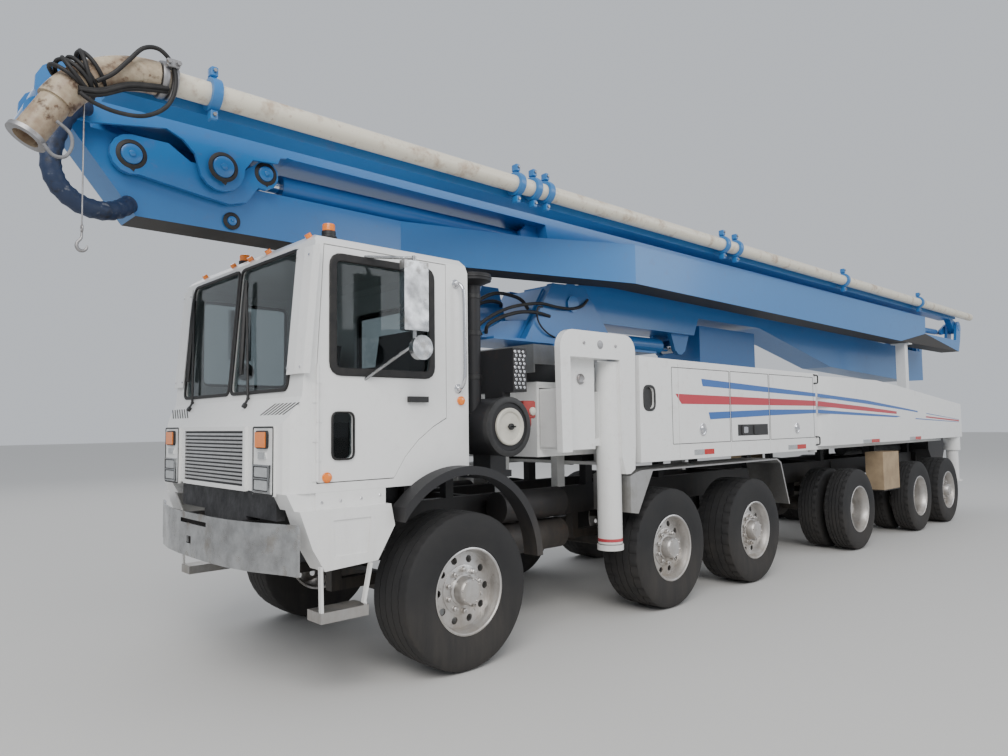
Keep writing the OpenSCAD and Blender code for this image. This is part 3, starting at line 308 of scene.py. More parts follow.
def repaint(node, look, inside):
    """Gives a second finish to a node's triangles whose centres pass a test of station, left and height."""
    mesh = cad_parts[node].data
    centres = np.empty(len(mesh.polygons) * 3)
    mesh.polygons.foreach_get("center", centres)
    x, y, z = centres.reshape(-1, 3).T
    index = np.empty(len(mesh.polygons), dtype=np.int32)
    mesh.polygons.foreach_get("material_index", index)
    mesh.materials.append(LOOKS[look])
    index[inside(x - AXLE_1_X, y, z)] = len(mesh.materials) - 1
    mesh.polygons.foreach_set("material_index", index)
    mesh.update()


# Finishes


def add_node(tree, kind, **inputs):
    """Adds a shader node and sets its inputs, where an underscore in a name stands for a space."""
    node = tree.nodes.new("ShaderNode" + kind)
    for name, value in inputs.items():
        node.inputs[name.replace("_", " ")].default_value = value
    return node


def mask_group(name, first):
    """A node group with a number and an amount going in and a mask coming out, and its two end nodes."""
    tree = bpy.data.node_groups.new(name, "ShaderNodeTree")
    for label, way in ((first, "INPUT"), ("Amount", "INPUT"), ("Mask", "OUTPUT")):
        tree.interface.new_socket(name=label, in_out=way, socket_type="NodeSocketFloat")
    return tree, tree.nodes.new("NodeGroupInput"), tree.nodes.new("NodeGroupOutput")


def link_all(tree, *pairs):
    """Links each pair of an output and an input."""
    for source, target in pairs:
        tree.links.new(source, target)


def noise_mask_group(name, detail, low, high):
    """A mask from noise on the object's own coordinates, between two levels."""
    tree, given, out = mask_group(name, "Scale")
    coord, times = add_node(tree, "TexCoord"), add_node(tree, "Math")
    noise = add_node(tree, "TexNoise", Detail=detail, Roughness=0.62)
    ramp = add_node(tree, "MapRange", From_Min=low, From_Max=high)
    times.operation = "MULTIPLY"
    link_all(tree, (coord.outputs["Object"], noise.inputs["Vector"]),
             (given.outputs[0], noise.inputs["Scale"]), (noise.outputs["Fac"], ramp.inputs["Value"]),
             (ramp.outputs["Result"], times.inputs[0]),
             (given.outputs[1], times.inputs[1]), (times.outputs[0], out.inputs[0]))
    return tree


def road_dirt_group():
    """A mask that grows towards the ground, broken up by noise in upright streaks."""
    tree, given, out = mask_group("road dirt", "Top")
    coord, split = add_node(tree, "TexCoord"), add_node(tree, "SeparateXYZ")
    height = add_node(tree, "MapRange", From_Min=0.3, To_Min=1.0, To_Max=0.0)
    height.interpolation_type = "SMOOTHSTEP"
    stretch = add_node(tree, "Mapping", Scale=(9.0, 9.0, 1.2))
    noise = add_node(tree, "TexNoise", Scale=1.0, Detail=6.0, Roughness=0.7)
    breakup = add_node(tree, "MapRange", From_Min=0.36, From_Max=0.68, To_Min=0.25)
    mix, times = add_node(tree, "Math"), add_node(tree, "Math")
    mix.operation = times.operation = "MULTIPLY"
    link_all(tree, (coord.outputs["Object"], split.inputs[0]), (split.outputs["Z"], height.inputs["Value"]),
             (given.outputs[0], height.inputs["From Max"]),
             (coord.outputs["Object"], stretch.inputs["Vector"]),
             (stretch.outputs[0], noise.inputs["Vector"]), (noise.outputs["Fac"], breakup.inputs["Value"]),
             (height.outputs[0], mix.inputs[0]), (breakup.outputs[0], mix.inputs[1]),
             (mix.outputs[0], times.inputs[0]), (given.outputs[1], times.inputs[1]),
             (times.outputs[0], out.inputs[0]))
    return tree


class Finish:
    """A Principled material that is worked up with masks."""

    def __init__(self, name, colour, rough, inputs):
        self.mat = bpy.data.materials.new(name)
        self.mat.use_nodes = True
        self.tree = self.mat.node_tree
        self.bsdf = self.tree.nodes["Principled BSDF"]
        values = {"Base Color": (*colour, 1), "Roughness": rough, "Coat Roughness": 0.12, **inputs}
        for key, value in values.items():
            self.bsdf.inputs[key].default_value = value

    def cover(self, mask, channel, kind, value):
        """Blends a value over what a channel of the shader has, by a mask."""
        target = self.bsdf.inputs[channel]
        mix = self.tree.nodes.new("ShaderNodeMix")
        mix.data_type = kind
        mix.inputs["B"].default_value = value
        if target.is_linked:
            self.tree.links.new(target.links[0].from_socket, mix.inputs["A"])
        else:
            mix.inputs["A"].default_value = target.default_value
        self.tree.links.new(mask, mix.inputs["Factor"])
        self.tree.links.new(mix.outputs["Result"], target)

    def layer(self, group, first, amount, colour, rough):
        """Lays a colour and a roughness over what is there, by a shared mask group with two numbers."""
        mask = self.tree.nodes.new("ShaderNodeGroup")
        mask.node_tree = group
        mask.inputs[0].default_value = first
        mask.inputs[1].default_value = amount
        self.cover(mask.outputs[0], "Base Color", "RGBA", (*colour, 1))
        self.cover(mask.outputs[0], "Roughness", "FLOAT", rough)

    def bump(self, scale, strength, distance, detail=3.0):
        """Fine unevenness from noise on the object's coordinates."""
        coord = add_node(self.tree, "TexCoord")
        noise = add_node(self.tree, "TexNoise", Scale=scale, Detail=detail)
        bump = add_node(self.tree, "Bump", Strength=strength, Distance=distance)
        link_all(self.tree, (coord.outputs["Object"], noise.inputs["Vector"]),
                 (noise.outputs["Fac"], bump.inputs["Height"]),
                 (bump.outputs["Normal"], self.bsdf.inputs["Normal"]))


MUD = (0.30, 0.235, 0.165)
RUST = (0.235, 0.085, 0.028)
GRIME = (0.045, 0.042, 0.038)
METAL = {"Metallic": 1.0}
PAINT_BUMP = (220.0, 0.04, 0.0006)
COAT = 0.25
# A finish: colour, roughness, other inputs, bump, and layers of mask, scale or top, amount, colour, roughness
FINISHES = {
    "rim_metal": ((0.72, 0.72, 0.72), 0.30, METAL, (), (
        ("mottle", 9.0, 0.5, (0.42, 0.40, 0.38), 0.48), ("dirt", 1.3, 0.62, (0.34, 0.28, 0.21), 0.8),
        ("specks", 30.0, 0.35, (0.20, 0.13, 0.08), 0.8))),
    "bumper_metal": ((0.50, 0.51, 0.52), 0.14, METAL, (5.0, 0.5, 0.02, 2.0), (
        ("mottle", 7.0, 0.7, (0.20, 0.195, 0.19), 0.40), ("patches", 6.0, 0.45, (0.30, 0.25, 0.19), 0.75))),
    "rod_chrome": ((0.8, 0.8, 0.82), 0.12, METAL, (), (("mottle", 12.0, 0.3, (0.4, 0.4, 0.42), 0.35),)),
    "bare_steel": ((0.42, 0.42, 0.43), 0.42, METAL, (), (
        ("mottle", 8.0, 0.6, (0.16, 0.13, 0.11), 0.65), ("specks", 18.0, 0.5, RUST, 0.9))),
    "tyre_rubber": ((0.022, 0.022, 0.023), 0.78, {"Specular IOR Level": 0.35}, (90.0, 0.15, 0.002), (
        ("mottle", 6.0, 0.25, (0.05, 0.047, 0.044), 0.9), ("dirt", 0.7, 0.22, (0.13, 0.11, 0.09), 0.95))),
    "hose_rubber": ((0.012, 0.012, 0.013), 0.55, {"Specular IOR Level": 0.4}, (160.0, 0.1, 0.001), (
        ("mottle", 18.0, 0.4, (0.06, 0.055, 0.05), 0.8),)),
    "black_plastic": ((0.015, 0.015, 0.016), 0.45, {}, (), (
        ("mottle", 16.0, 0.35, (0.06, 0.058, 0.055), 0.65),)),
    "seat_fabric": ((0.05, 0.05, 0.055), 0.9, {}, (700.0, 0.3, 0.001), ()),
    "amber_lens": (
        (0.85, 0.22, 0.02), 0.2,
        {"Coat Weight": 0.6, "Emission Color": (0.9, 0.25, 0.02, 1), "Emission Strength": 0.12}, (),
        (("mottle", 30.0, 0.3, (0.5, 0.10, 0.01), 0.3),)),
    "red_lens": ((0.55, 0.015, 0.012), 0.2, {"Coat Weight": 0.6}, (), (
        ("mottle", 30.0, 0.3, (0.3, 0.01, 0.01), 0.3),)),
    "lamp_glass": ((0.75, 0.77, 0.78), 0.08, {"Metallic": 0.7, "Coat Weight": 1.0}, (), (
        ("mottle", 40.0, 0.5, (0.35, 0.36, 0.36), 0.25),)),
    "window_glass": ((0.42, 0.47, 0.48), 0.02, {"Transmission Weight": 1.0, "IOR": 1.3}, (), ()),
    "timber": ((0.42, 0.31, 0.19), 0.8, {}, (), (
        ("mottle", 5.0, 0.7, (0.20, 0.14, 0.09), 0.9), ("dirt", 1.6, 0.5, MUD, 0.9))),
    "tread_plate": ((0.50, 0.50, 0.50), 0.35, METAL, (60.0, 0.3, 0.003, 1.0), (
        ("mottle", 10.0, 0.5, (0.30, 0.28, 0.25), 0.6), ("dirt", 1.5, 0.5, (0.33, 0.27, 0.2), 0.85))),
    "engine_iron": ((0.10, 0.10, 0.105), 0.6, {"Metallic": 0.4}, (30.0, 0.4, 0.01), (
        ("mottle", 8.0, 0.7, (0.03, 0.03, 0.03), 0.8),)),
    # Black grime for the door gaps and the pin grease, and painted shade on the underside of boom_3
    "grime_and_shade_black": ((0.02, 0.019, 0.018), 0.6, {}, (), (("mottle", 22.0, 0.5, (0.075, 0.06, 0.048), 0.8),)),
    "pale_plastic": ((0.62, 0.60, 0.53), 0.5, {}, (), (("mottle", 9.0, 0.5, (0.36, 0.33, 0.27), 0.7),)),
    "valve_red": ((0.42, 0.05, 0.045), 0.5, {}, (), (("mottle", 20.0, 0.5, (0.16, 0.035, 0.03), 0.7),)),
    "wrapped_hose": ((0.015, 0.03, 0.075), 0.5, {}, (55.0, 0.6, 0.004), (
        ("patches", 11.0, 0.8, (0.012, 0.012, 0.014), 0.6), ("specks", 14.0, 0.6, (0.30, 0.31, 0.33), 0.6))),
    "strap_grey": ((0.22, 0.22, 0.23), 0.7, {}, (), (("mottle", 30.0, 0.5, (0.08, 0.08, 0.085), 0.8),)),
}
# Layers that lie over a paint
WEAR = {
    "pipe_cream": (("patches", 5.0, 0.55, (0.30, 0.16, 0.08), 0.85),),
    "elbow_worn": (("mottle", 7.0, 1.0, (0.15, 0.07, 0.038), 0.9),
                   ("patches", 13.0, 0.9, (0.07, 0.035, 0.02), 0.95)),
}


def paints(colours):
    """Each paint: name, colour, roughness, top and amount of the road dirt, amount of rust, clear coat."""
    return (
        ("cab_white", colours.cab_white, 0.32, 1.55, 0.30, 0.05, COAT),
        ("body_white", colours.body_white, 0.36, 1.6, 0.30, 0.10, COAT),
        ("boom_blue", colours.boom_blue, 0.34, 0.9, 0.0, 0.10, COAT),
        ("turret_blue", colours.turret_blue, 0.38, 0.9, 0.0, 0.12, COAT),
        ("frame_black", (0.012, 0.012, 0.014), 0.55, 1.3, 0.22, 0.08, 0.0),
        ("stripe_red", colours.stripe_red, 0.36, 1.6, 0.2, 0.0, COAT),
        ("stripe_blue", colours.stripe_blue, 0.36, 1.6, 0.2, 0.0, COAT),
        ("flare_black", (0.016, 0.016, 0.018), 0.55, 1.3, 0.25, 0.0, 0.0),
        ("pipe_cream", colours.pipe_cream, 0.42, 0.5, 0.0, 0.35, COAT),
        ("elbow_worn", (0.50, 0.42, 0.30), 0.6, 0.5, 0.0, 0.6, COAT),
    )


def make_finishes(colours):
    """Every material of the truck, by a plain name."""
    masks = {
        "mottle": noise_mask_group("mottle", 4.0, 0.35, 0.75),
        "specks": noise_mask_group("specks", 8.0, 0.60, 0.70),
        "patches": noise_mask_group("patches", 7.0, 0.54, 0.66),
        "dirt": road_dirt_group(),
    }
    finishes = dict(FINISHES)
    for name, colour, rough, top, amount, rust, coat in paints(colours):
        layers = [("mottle", 1.7, 0.08, tuple(c * 0.75 for c in colour), rough + 0.08),
                  ("mottle", 14.0, 0.03, GRIME, rough + 0.15), ("dirt", top, amount, MUD, 0.82)]
        if rust:
            layers += [("specks", 26.0, rust, RUST, 0.9), ("specks", 7.0, rust * 0.8, RUST, 0.9)]
        layers += WEAR.get(name, ())
        finishes[name] = (colour, rough, {"Coat Weight": coat}, PAINT_BUMP, layers)
    looks = {}
    for name, (colour, rough, inputs, bump, layers) in finishes.items():
        finish = Finish(name, colour, rough, inputs)
        for mask, *values in layers:
            finish.layer(masks[mask], *values)
        if bump:
            finish.bump(*bump)
        looks[name] = finish.mat
    return looks


LOOKS = {}

NODE_LOOKS = {
    "chassis_frame": "frame_black", "axles": "frame_black", "engine": "engine_iron",
    "front_bumper": "bumper_metal", "cab_shell": "cab_white", "cab_interior": "seat_fabric",
    "cab_front": "cab_white", "cab_glass": "window_glass", "cab_steps": "cab_white",
    "side_gear": "frame_black", "front_outrigger_box": "body_white", "deck_cabinets": "body_white",
    "fenders": "tread_plate", "turret_pedestal": "frame_black", "oil_tank": "turret_blue",
    "hopper": "frame_black", "pump_unit": "engine_iron", "boom_rest": "body_white", "cribbing": "timber",
    "door_left": "cab_white", "door_right": "cab_white", "hopper_grate": "bare_steel",
    "turret": "turret_blue", "pipe_3": "pipe_cream", "pipe_4": "pipe_cream",
}


def look_of(node):
    """The finish that a frame node gets."""
    if node in NODE_LOOKS:
        return NODE_LOOKS[node]
    if node.startswith(("boom_", "lift_barrel", "knee_")) and not node.endswith("rod"):
        return "boom_blue"
    if node.endswith("_rod"):
        return "rod_chrome"
    if node.startswith("wheel_"):
        return "tyre_rubber"
    if node.startswith("knuckle"):
        return "frame_black"
    return "body_white"


def paint_frame():
    """Gives each frame node its finish, and the second finishes on top."""
    for name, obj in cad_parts.items():
        material = LOOKS[look_of(name)]
        obj.data.materials.clear()
        obj.data.materials.append(material)
    for node, look, inside in SECOND_FINISHES:
        repaint(node, look, inside)


# Second finishes on frame nodes

PIPE_Y, PIPE_Z = 0.992, 3.620
PIPE_CLAMPS = np.array([1.72, -0.72, -0.91, -1.06, -3.85, -4.12, -7.01, -9.99])
FLANGE_C = (2.634, 3.128)


def on_clamp(x, y, z):
    """True on the ring clamps of the delivery pipe."""
    near = np.abs(x[:, None] - PIPE_CLAMPS[None]).min(1) < 0.034
    return near & (np.hypot(y - PIPE_Y, z - PIPE_Z) > 0.0785)


def on_flange(x, _, z):
    """True on the flange at the elbow's end, which faces forward and down."""
    return ((x - FLANGE_C[0]) * 0.5 - (z - FLANGE_C[1]) * 0.866 > -0.034) & (x > 2.4)


def on_headlamp(x, y, z):
    """True on the lenses and reflector rims of a headlamp unit."""
    in_unit = (np.abs(y) > 0.68) & (z < 1.545) & (x > NOSE_X + 0.024)
    return in_unit & ((np.abs(x - NOSE_X - 0.028) < 0.002) | (z > 1.49))


def on_oval_window(x, y, z):
    """True on the oval window of the front cabinet's side."""
    return (np.hypot(x + 2.10, z - 1.91) < 0.13) & (np.abs(np.abs(y) - 1.222) < 0.003)


LAMP_PLATE_X = NOSE_X + 0.0215
DOORS = ("door_left", "door_right")
# Node, finish, and a test of station, left and height
SECOND_FINISHES = (
    ("cab_steps", "flare_black", lambda x, y, z: (np.hypot(x, z - 0.68) < 0.735) & (x < 0.545)),
    ("cab_steps", "tread_plate", lambda x, y, z: z < 0.585),
    ("cab_front", "black_plastic", lambda x, y, z: (z > 1.80) & (z < 2.72) & (np.abs(y) < 0.88) & (x > 1.1)),
    ("cab_front", "rim_metal", lambda x, y, z: (np.abs(y) < 0.515) & (z > 1.31) & (z < 1.68)),
    ("cab_front", "black_plastic",
     lambda x, y, z: (np.abs(y) < 0.512) & (z > 1.313) & (z < 1.674) & (x < NOSE_X + 0.009)),
    ("cab_front", "bumper_metal", lambda x, y, z: (np.abs(y) > 0.68) & (z < 1.467) & (x > LAMP_PLATE_X)),
    ("cab_front", "lamp_glass", on_headlamp),
    ("cab_front", "amber_lens",
     lambda x, y, z: (np.abs(y) > 0.72) & (z > 1.565) & (z < 1.67) & (x > LAMP_PLATE_X)),
    ("cab_front", "amber_lens", lambda x, y, z: z > 2.875),
    *((door, "bumper_metal", lambda x, y, z: (np.abs(y) > 1.12) & (z > 1.95)) for door in DOORS),
    *((door, "black_plastic", lambda x, y, z: (np.abs(y) > 1.0805) & (z < 1.95) & (x < 0.5))
      for door in DOORS),
    ("deck_cabinets", "tread_plate", lambda x, y, z: (x > -1.70) & (z < 2.299)),
    ("deck_cabinets", "black_plastic", on_oval_window),
    ("pipe_4", "elbow_worn", lambda x, y, z: x > 1.98),
    ("pipe_4", "boom_blue", on_clamp),
    ("pipe_4", "bare_steel", on_flange),
    # Painted shade: boom_3 below height 3.034 gets the black finish for the shade under the boom section
    ("boom_3", "grime_and_shade_black", lambda x, y, z: z < 3.034),
)

# Wheels

RIM_R = 0.286
TREAD_EDGE = 0.030
GROOVES = 4
GROOVE_EDGE = 0.004
GROOVE_DEPTH = 0.013
HAND_HOLES = 10
HOLE_RING, HOLE_R = 0.214, 0.026
DISC_IN, DISC_OUT, DISC_THICK = 0.150, RIM_R - 0.022, 0.014
HUB_R = 0.098
CAP_SCREWS = 8
NUTS = 10
NUT_PROFILE = ((0.0215, 0.0), (0.0215, 0.006), (0.0185, 0.008), (0.0185, 0.030), (0.0150, 0.034),
               (0.0090, 0.036), (0.0090, 0.046), (0.001, 0.048))
TWIN_AXLES = (4, 5)
TWIN_WIDTH = 0.28


def tyre_profile(radius, width):
    """Profile rows of a tyre: radius, distance from the inner face, and 0 for side, 1 tread, 2 groove."""
    side = [
        (RIM_R, 0.030), (RIM_R + 0.018, 0.010), (RIM_R + 0.045, 0.008), (RIM_R + 0.09, 0.0),
        (radius - 0.10, 0.0), (radius - 0.06, 0.006), (radius - 0.028, 0.016), (radius - 0.012, 0.026),
    ]
    land = (width - 2 * TREAD_EDGE) / (GROOVES + 1)
    rows = [(r, y, 0) for r, y in side]
    y = TREAD_EDGE
    for i in range(GROOVES + 1):
        ends = (y + GROOVE_EDGE * (i > 0), y + land - GROOVE_EDGE * (i < GROOVES))
        rows += [(radius - 0.010 * ((v - width / 2) / (width / 2)) ** 2 - 0.002, v, 1) for v in ends]
        if i < GROOVES:
            floor = rows[-1][0] - GROOVE_DEPTH
            rows += [(floor, ends[1] + 0.001, 2), (floor, ends[1] + 0.007, 2)]
        y += land
    rows += [(r, width - y, 0) for r, y in reversed(side)]
    return np.array(rows)


def tyre_grid(x, z, y0, width, radius, side, lugs, deep):
    """The profile carried round the axle, with a gap between lugs at every fourth step."""
    r, y, kind = tyre_profile(radius, width).T[..., None]
    edge = 0.03 + 0.21 * width
    gap = (np.arange(lugs * 4) % 4 == 0) * deep
    r = r - (kind == 1) * np.where((y < edge) | (y > width - edge), 1.0, 0.35) * gap
    a = np.linspace(0, TAU, lugs * 4, endpoint=False) + (kind > 0) * (y - width / 2) / width * 0.02
    y = np.broadcast_to(y, r.shape)
    return np.stack([x + r * np.cos(a), side * (y0 + y), z + r * np.sin(a)], -1)


def rim_disc(parts, x, z, y, side, dish):
    """The wheel's disc in sectors, each a sheet from the edge of its hand hole out to the sector's edge."""
    around = np.linspace(0, 1, 32, endpoint=False) * TAU
    s = np.linspace(0, 1, 6)[:, None]
    half = TAU / HAND_HOLES / 2
    cu, su = np.cos(around), np.sin(around)
    hx, hy = HOLE_RING + HOLE_R * cu, HOLE_R * su
    m = np.maximum(np.abs(cu), np.abs(su))
    reach = np.where(cu > 0, DISC_OUT - HOLE_RING, HOLE_RING - DISC_IN)
    rad = np.hypot(hx, hy) * (1 - s) + (HOLE_RING + reach * cu / m) * s
    turn = np.arctan2(hy, hx) * (1 - s) + half * su / m * s
    depth = y + dish * (rad - DISC_IN) / (DISC_OUT - DISC_IN)
    for k in range(HAND_HOLES):
        ang = k * 2 * half + turn
        front = np.stack([x + rad * np.cos(ang), side * depth, z + rad * np.sin(ang)], -1)
        back = front - np.array([0, side * DISC_THICK, 0])
        parts.add(np.concatenate([front[::-1], back]), ring=True)


def on_axle(rows, side, centre, sides):
    """A profile turned about a line across the truck, with its distances counted outwards."""
    return turned([(r, side * d) for r, d in rows], centre, (0, 1, 0), sides)


def wheel_pieces(node, twin, steer):
    """Tyre, rim, hub and nuts for one wheel node, placed from the node's own box."""
    low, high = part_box(node)
    side = 1 if low.y > 0 else -1
    x, z = (low.x + high.x) / 2, (low.z + high.z) / 2
    inner, outer = sorted((abs(low.y), abs(high.y)))
    radius = (high.z - low.z) / 2
    width = TWIN_WIDTH if twin else outer - inner
    lugs, deep = (40, 0.004) if steer else (30, 0.014)
    tyres = Parts()
    for y0 in ((inner, outer - width) if twin else (inner,)):
        tyres.add(tyre_grid(x, z, y0, width, radius, side, lugs, deep), ring=True)
    tyre = tyres.make(node + "_tyre", "tyre_rubber", node, 40, "tyre_rubber")
    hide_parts(node)

    rim = Parts()
    centre = (x, 0, z)
    lip = outer - 0.012
    rim.add(on_axle([
        (RIM_R + 0.012, lip - 0.012), (RIM_R + 0.013, lip), (RIM_R + 0.004, lip + 0.003),
        (RIM_R - 0.004, lip - 0.004), (RIM_R - 0.010, lip - 0.03), (RIM_R - 0.020, lip - 0.05),
        (RIM_R - 0.024, lip - 0.10), (RIM_R - 0.024, inner + 0.04), (RIM_R - 0.008, inner + 0.02),
        (RIM_R + 0.010, inner + 0.018), (RIM_R + 0.006, inner + 0.03), (RIM_R - 0.010, inner + 0.05),
        (RIM_R - 0.012, lip - 0.06), (RIM_R, lip - 0.025),
    ], side, centre, 64), ring=True)
    disc_y, dish, cap_depth = (outer - 0.262, 0.010, 0.13) if twin else (outer - 0.098, -0.012, 0.10)
    rim_disc(rim, x, z, disc_y, side, dish)
    pad = disc_y + 0.004
    rim.add(on_axle([(0.172, pad - 0.016), (0.172, pad), (0.165, pad + 0.004), (0.100, pad + 0.004),
                     (0.100, pad - 0.016)], side, centre, 48), ring=True)
    rim.make(node + "_rim", "rim_metal", node, 30, "bright_metal")

    hub = Parts()
    face = pad + cap_depth
    hub.add(on_axle([(HUB_R + 0.012, pad - 0.01), (HUB_R + 0.012, pad + 0.012), (HUB_R, pad + 0.020),
                     (HUB_R * 0.94, face - 0.02), (HUB_R * 0.88, face - 0.006), (HUB_R * 0.80, face),
                     (0.002, face)], side, centre, 40))
    cap_screw = disc_profile(0.009, 0.010, 0.002)
    for count, first, ring_r, seat, rows, sides in (
            (CAP_SCREWS, 0.2, HUB_R - 0.016, face - 0.004, cap_screw, 6),
            (NUTS, 0.31, 0.1425, pad + 0.002, NUT_PROFILE, 12)):
        for i in range(count):
            a = TAU * i / count + first
            c = (x + ring_r * math.cos(a), side * seat, z + ring_r * math.sin(a))
            hub.add(on_axle(rows, side, c, sides))
    hub.make(node + "_hub", "rim_metal", node, 30, "bright_metal")


# Trim of the cab

SIDE_Y = 1.080
REAR_X = -0.120
WINDSCREEN = (0.012, 1.925, 0.885, 2.830)
DOOR_WINDOW = (0.215, 2.040, 0.985, 2.765)
LOW_WINDOW = (0.840, 1.490, 0.990, 1.780)
SCREEN_RUBBER = 0.024
REAR_WINDOW = (-0.400, 2.150, 0.400, 2.650)
WIPERS = ((0.141, 0.196), (-0.850, -0.800))
VENT_SLITS = 7
LAMP_UNIT_Y = 0.655
SIDES = ((1, "left"), (-1, "right"))


def grown(outline, by):
    """An outline moved outwards."""
    return inset(outline, -by)


def make_windows(sizes):
    """Rubber round each window, and the panes in the doors."""
    cab = Parts()
    front = grown(rectangle(*WINDSCREEN, 0.06), 0.008)
    both(cab, band(front, SCREEN_RUBBER, 0.012, on_screen), ring=True)
    rear = grown(rectangle(*REAR_WINDOW, 0.05), 0.012)
    cab.add(band(rear, sizes.gasket, 0.012, on_front(REAR_X, -1)), ring=True)
    cab.make("cab_window_rubber", "hose_rubber", "truck", 40)
    for side, name in SIDES:
        body = "door_" + name
        rubber, panes = Parts(), Parts()
        for window, corner, over, wide in (
                (DOOR_WINDOW, 0.06, 0.028, sizes.gasket), (LOW_WINDOW, 0.04, 0.008, 0.012)):
            outline = rectangle(*window, corner)
            rubber.add(band(grown(outline, over), wide, 0.014, on_side(SIDE_Y, side), 0.006), ring=True)
            panes.add(plate(inset(outline, 0.0008), 0.006, on_side(SIDE_Y - 0.024, side), 0.001))
        rubber.make(body + "_rubber", "hose_rubber", body, 40)
        panes.make(body + "_pane", "window_glass", body, 30)


def make_face():
    """Seals round the lamp units and their lamps, lamp glass, vent slits and wipers."""
    dark, glass = Parts(), Parts()
    left = LAMP_UNIT_Y
    housing = rectangle(left, 1.275, left + 0.290, 1.700, 0.02)
    both(dark, band(housing, 0.011, 0.004, on_front(NOSE_X + 0.020), 0.002), ring=True)
    amber = rectangle(left + 0.066, 1.561, left + 0.224, 1.674, 0.025)
    both(dark, band(amber, 0.010, 0.018, on_front(NOSE_X + 0.020)), ring=True)
    for foot in (1.302, 1.382):
        lamp = rectangle(left + 0.048, foot + 0.003, left + 0.242, foot + 0.069, 0.012)
        both(glass, plate(lamp, 0.007, on_front(NOSE_X + 0.0285), 0.003))
        both(dark, band(grown(lamp, 0.0025), 0.006, 0.010, on_front(NOSE_X + 0.0284), 0.002), ring=True)
    for i in range(VENT_SLITS):
        y = 0.625 + 0.052 * i
        slit = np.array([(y, 1.770), (y + 0.020, 1.770), (y + 0.155, 1.842), (y + 0.135, 1.842)])
        both(dark, plate(slit, 0.002, on_cowl, 0.0008))
    for tip, foot in WIPERS:
        arm = [(tip, 2.735), (tip * 0.8 + foot * 0.2, 2.55), (tip * 0.3 + foot * 0.7, 2.25), (foot, 2.06)]
        dark.add(sweep(on_screen(arm, 0.020), [0.010, 0.020, 0.020, 0.010], 8, smooth_path=4))
        dark.add(sweep(on_screen([(tip, 2.72), (foot, 2.06)], 0.008), 0.007, 6))
    dark.make("cab_face_black", "black_plastic", "truck", 35)
    glass.make("headlamp_glass", "lamp_glass", "truck", 35)


def make_lamps(sizes):
    """Round amber side lamps, the side marker and the two turning lamps on the roof."""
    r = sizes.side_lamp
    for side, name in SIDES:
        body = "door_" + name
        lamp = Parts()
        lamp.add(turned(lens_profile(r, 0.022), at(1.028, side * SIDE_Y, 1.380), (0, side, 0), 28))
        lamp.make(body + "_lamp", "amber_lens", body, 30)
    lamps, bases = Parts(), Parts()
    both(lamps, turned(lens_profile(r, 0.024), at(-0.047, SIDE_Y, 1.866), (0, 1, 0), 28))
    h = sizes.beacon_height
    for x, y, z in ((0.915, 0.900, 2.928), (0.930, -0.364, 2.943)):
        base = at(x, y, z)
        bases.add(turned([(0.054, 0.0), (0.054, 0.010), (0.046, 0.014), (0.046, 0.044), (0.02, 0.046)],
                         base, (0, 0, 1), 32))
        rows = [(0.040, 0.043), (0.042, 0.047)]
        rows += [(0.0405 + 0.0015 * (k % 2), 0.049 + 0.0045 * k) for k in range(8)]
        rows += [(0.038, h - 0.006), (0.020, h), (0.001, h)]
        lamps.add(turned(rows, base, (0, 0, 1), 32))
    lamps.make("cab_amber_lamps", "amber_lens", "truck", 30)
    bases.make("beacon_bases", "black_plastic", "truck", 30)


def make_cab_metal(sizes):
    """Bent grab handles behind the doors, with round feet, and bolts on the screen deflectors."""
    bright = Parts()
    path = [at(-0.006, 1.079, 2.708), at(-0.010, 1.112, 2.706), at(-0.022, 1.140, 2.672),
            at(-0.030, 1.146, 2.60), at(-0.034, 1.146, 2.35), at(-0.034, 1.146, 2.08),
            at(-0.030, 1.138, 2.00), at(-0.024, 1.112, 1.958), at(-0.022, 1.079, 1.952)]
    both(bright, sweep(path, sizes.handle_radius, 14, smooth_path=5))
    for x, z in ((-0.006, 2.708), (-0.022, 1.952)):
        both(bright, turned([(0.034, 0), (0.034, 0.004), (0.026, 0.009), (0.019, 0.011), (0.019, 0.02)],
                            at(x, SIDE_Y, z), (0, 1, 0), 28))
    for z in (2.06, 2.76):
        for y in (0.905, 1.06):
            c = on_screen([(y, z)], 0.0275 if y < 1 else 0.022)[0]
            both(bright, screw(c, (1, 0, 0.087), 0.009, 0.006))
    for x, z in ((0.64, 1.245), (0.78, 1.235), (0.93, 1.232), (1.06, 1.23)):
        both(bright, screw(at(x, 1.079, z), (0, 1, 0), 0.010, 0.006))
    bright.make("cab_bright_metal", "rod_chrome", "truck", 40)


# Trim of the body sides

PANEL_GAPS = (-2.56, -3.48, -4.30)
# A stripe's finish, its body, and rows of station, top and foot, going back
STRIPES = (
    ("blue", "truck", ((-2.953, 2.110, 2.109), (-2.975, 2.109, 2.038), (-5.455, 2.016, 1.972))),
    ("red", "truck", ((-2.507, 1.956, 1.955), (-2.606, 1.955, 1.861), (-5.455, 1.924, 1.862))),
    ("blue", "truck",
     ((-3.069, 1.783, 1.782), (-3.096, 1.784, 1.713), (-4.34, 1.815, 1.750), (-5.455, 1.819, 1.776))),
    ("blue", "rear",
     ((-5.50, 2.014, 1.971), (-6.98, 1.950, 1.901), (-8.30, 1.858, 1.828), (-8.95, 1.810, 1.788))),
    ("red", "rear", ((-5.50, 1.923, 1.861), (-6.97, 1.860, 1.805), (-8.08, 1.801, 1.764))),
    ("blue", "rear",
     ((-5.50, 1.819, 1.775), (-6.96, 1.774, 1.741), (-8.07, 1.739, 1.715), (-8.23, 1.733, 1.732))),
    ("blue", "rear", ((-9.33, 1.778, 1.766), (-10.95, 1.672, 1.666))),
    ("red", "rear", ((-9.30, 1.731, 1.708), (-10.95, 1.661, 1.636))),
    ("blue", "rear", ((-8.84, 1.702, 1.686), (-10.95, 1.630, 1.622))),
)
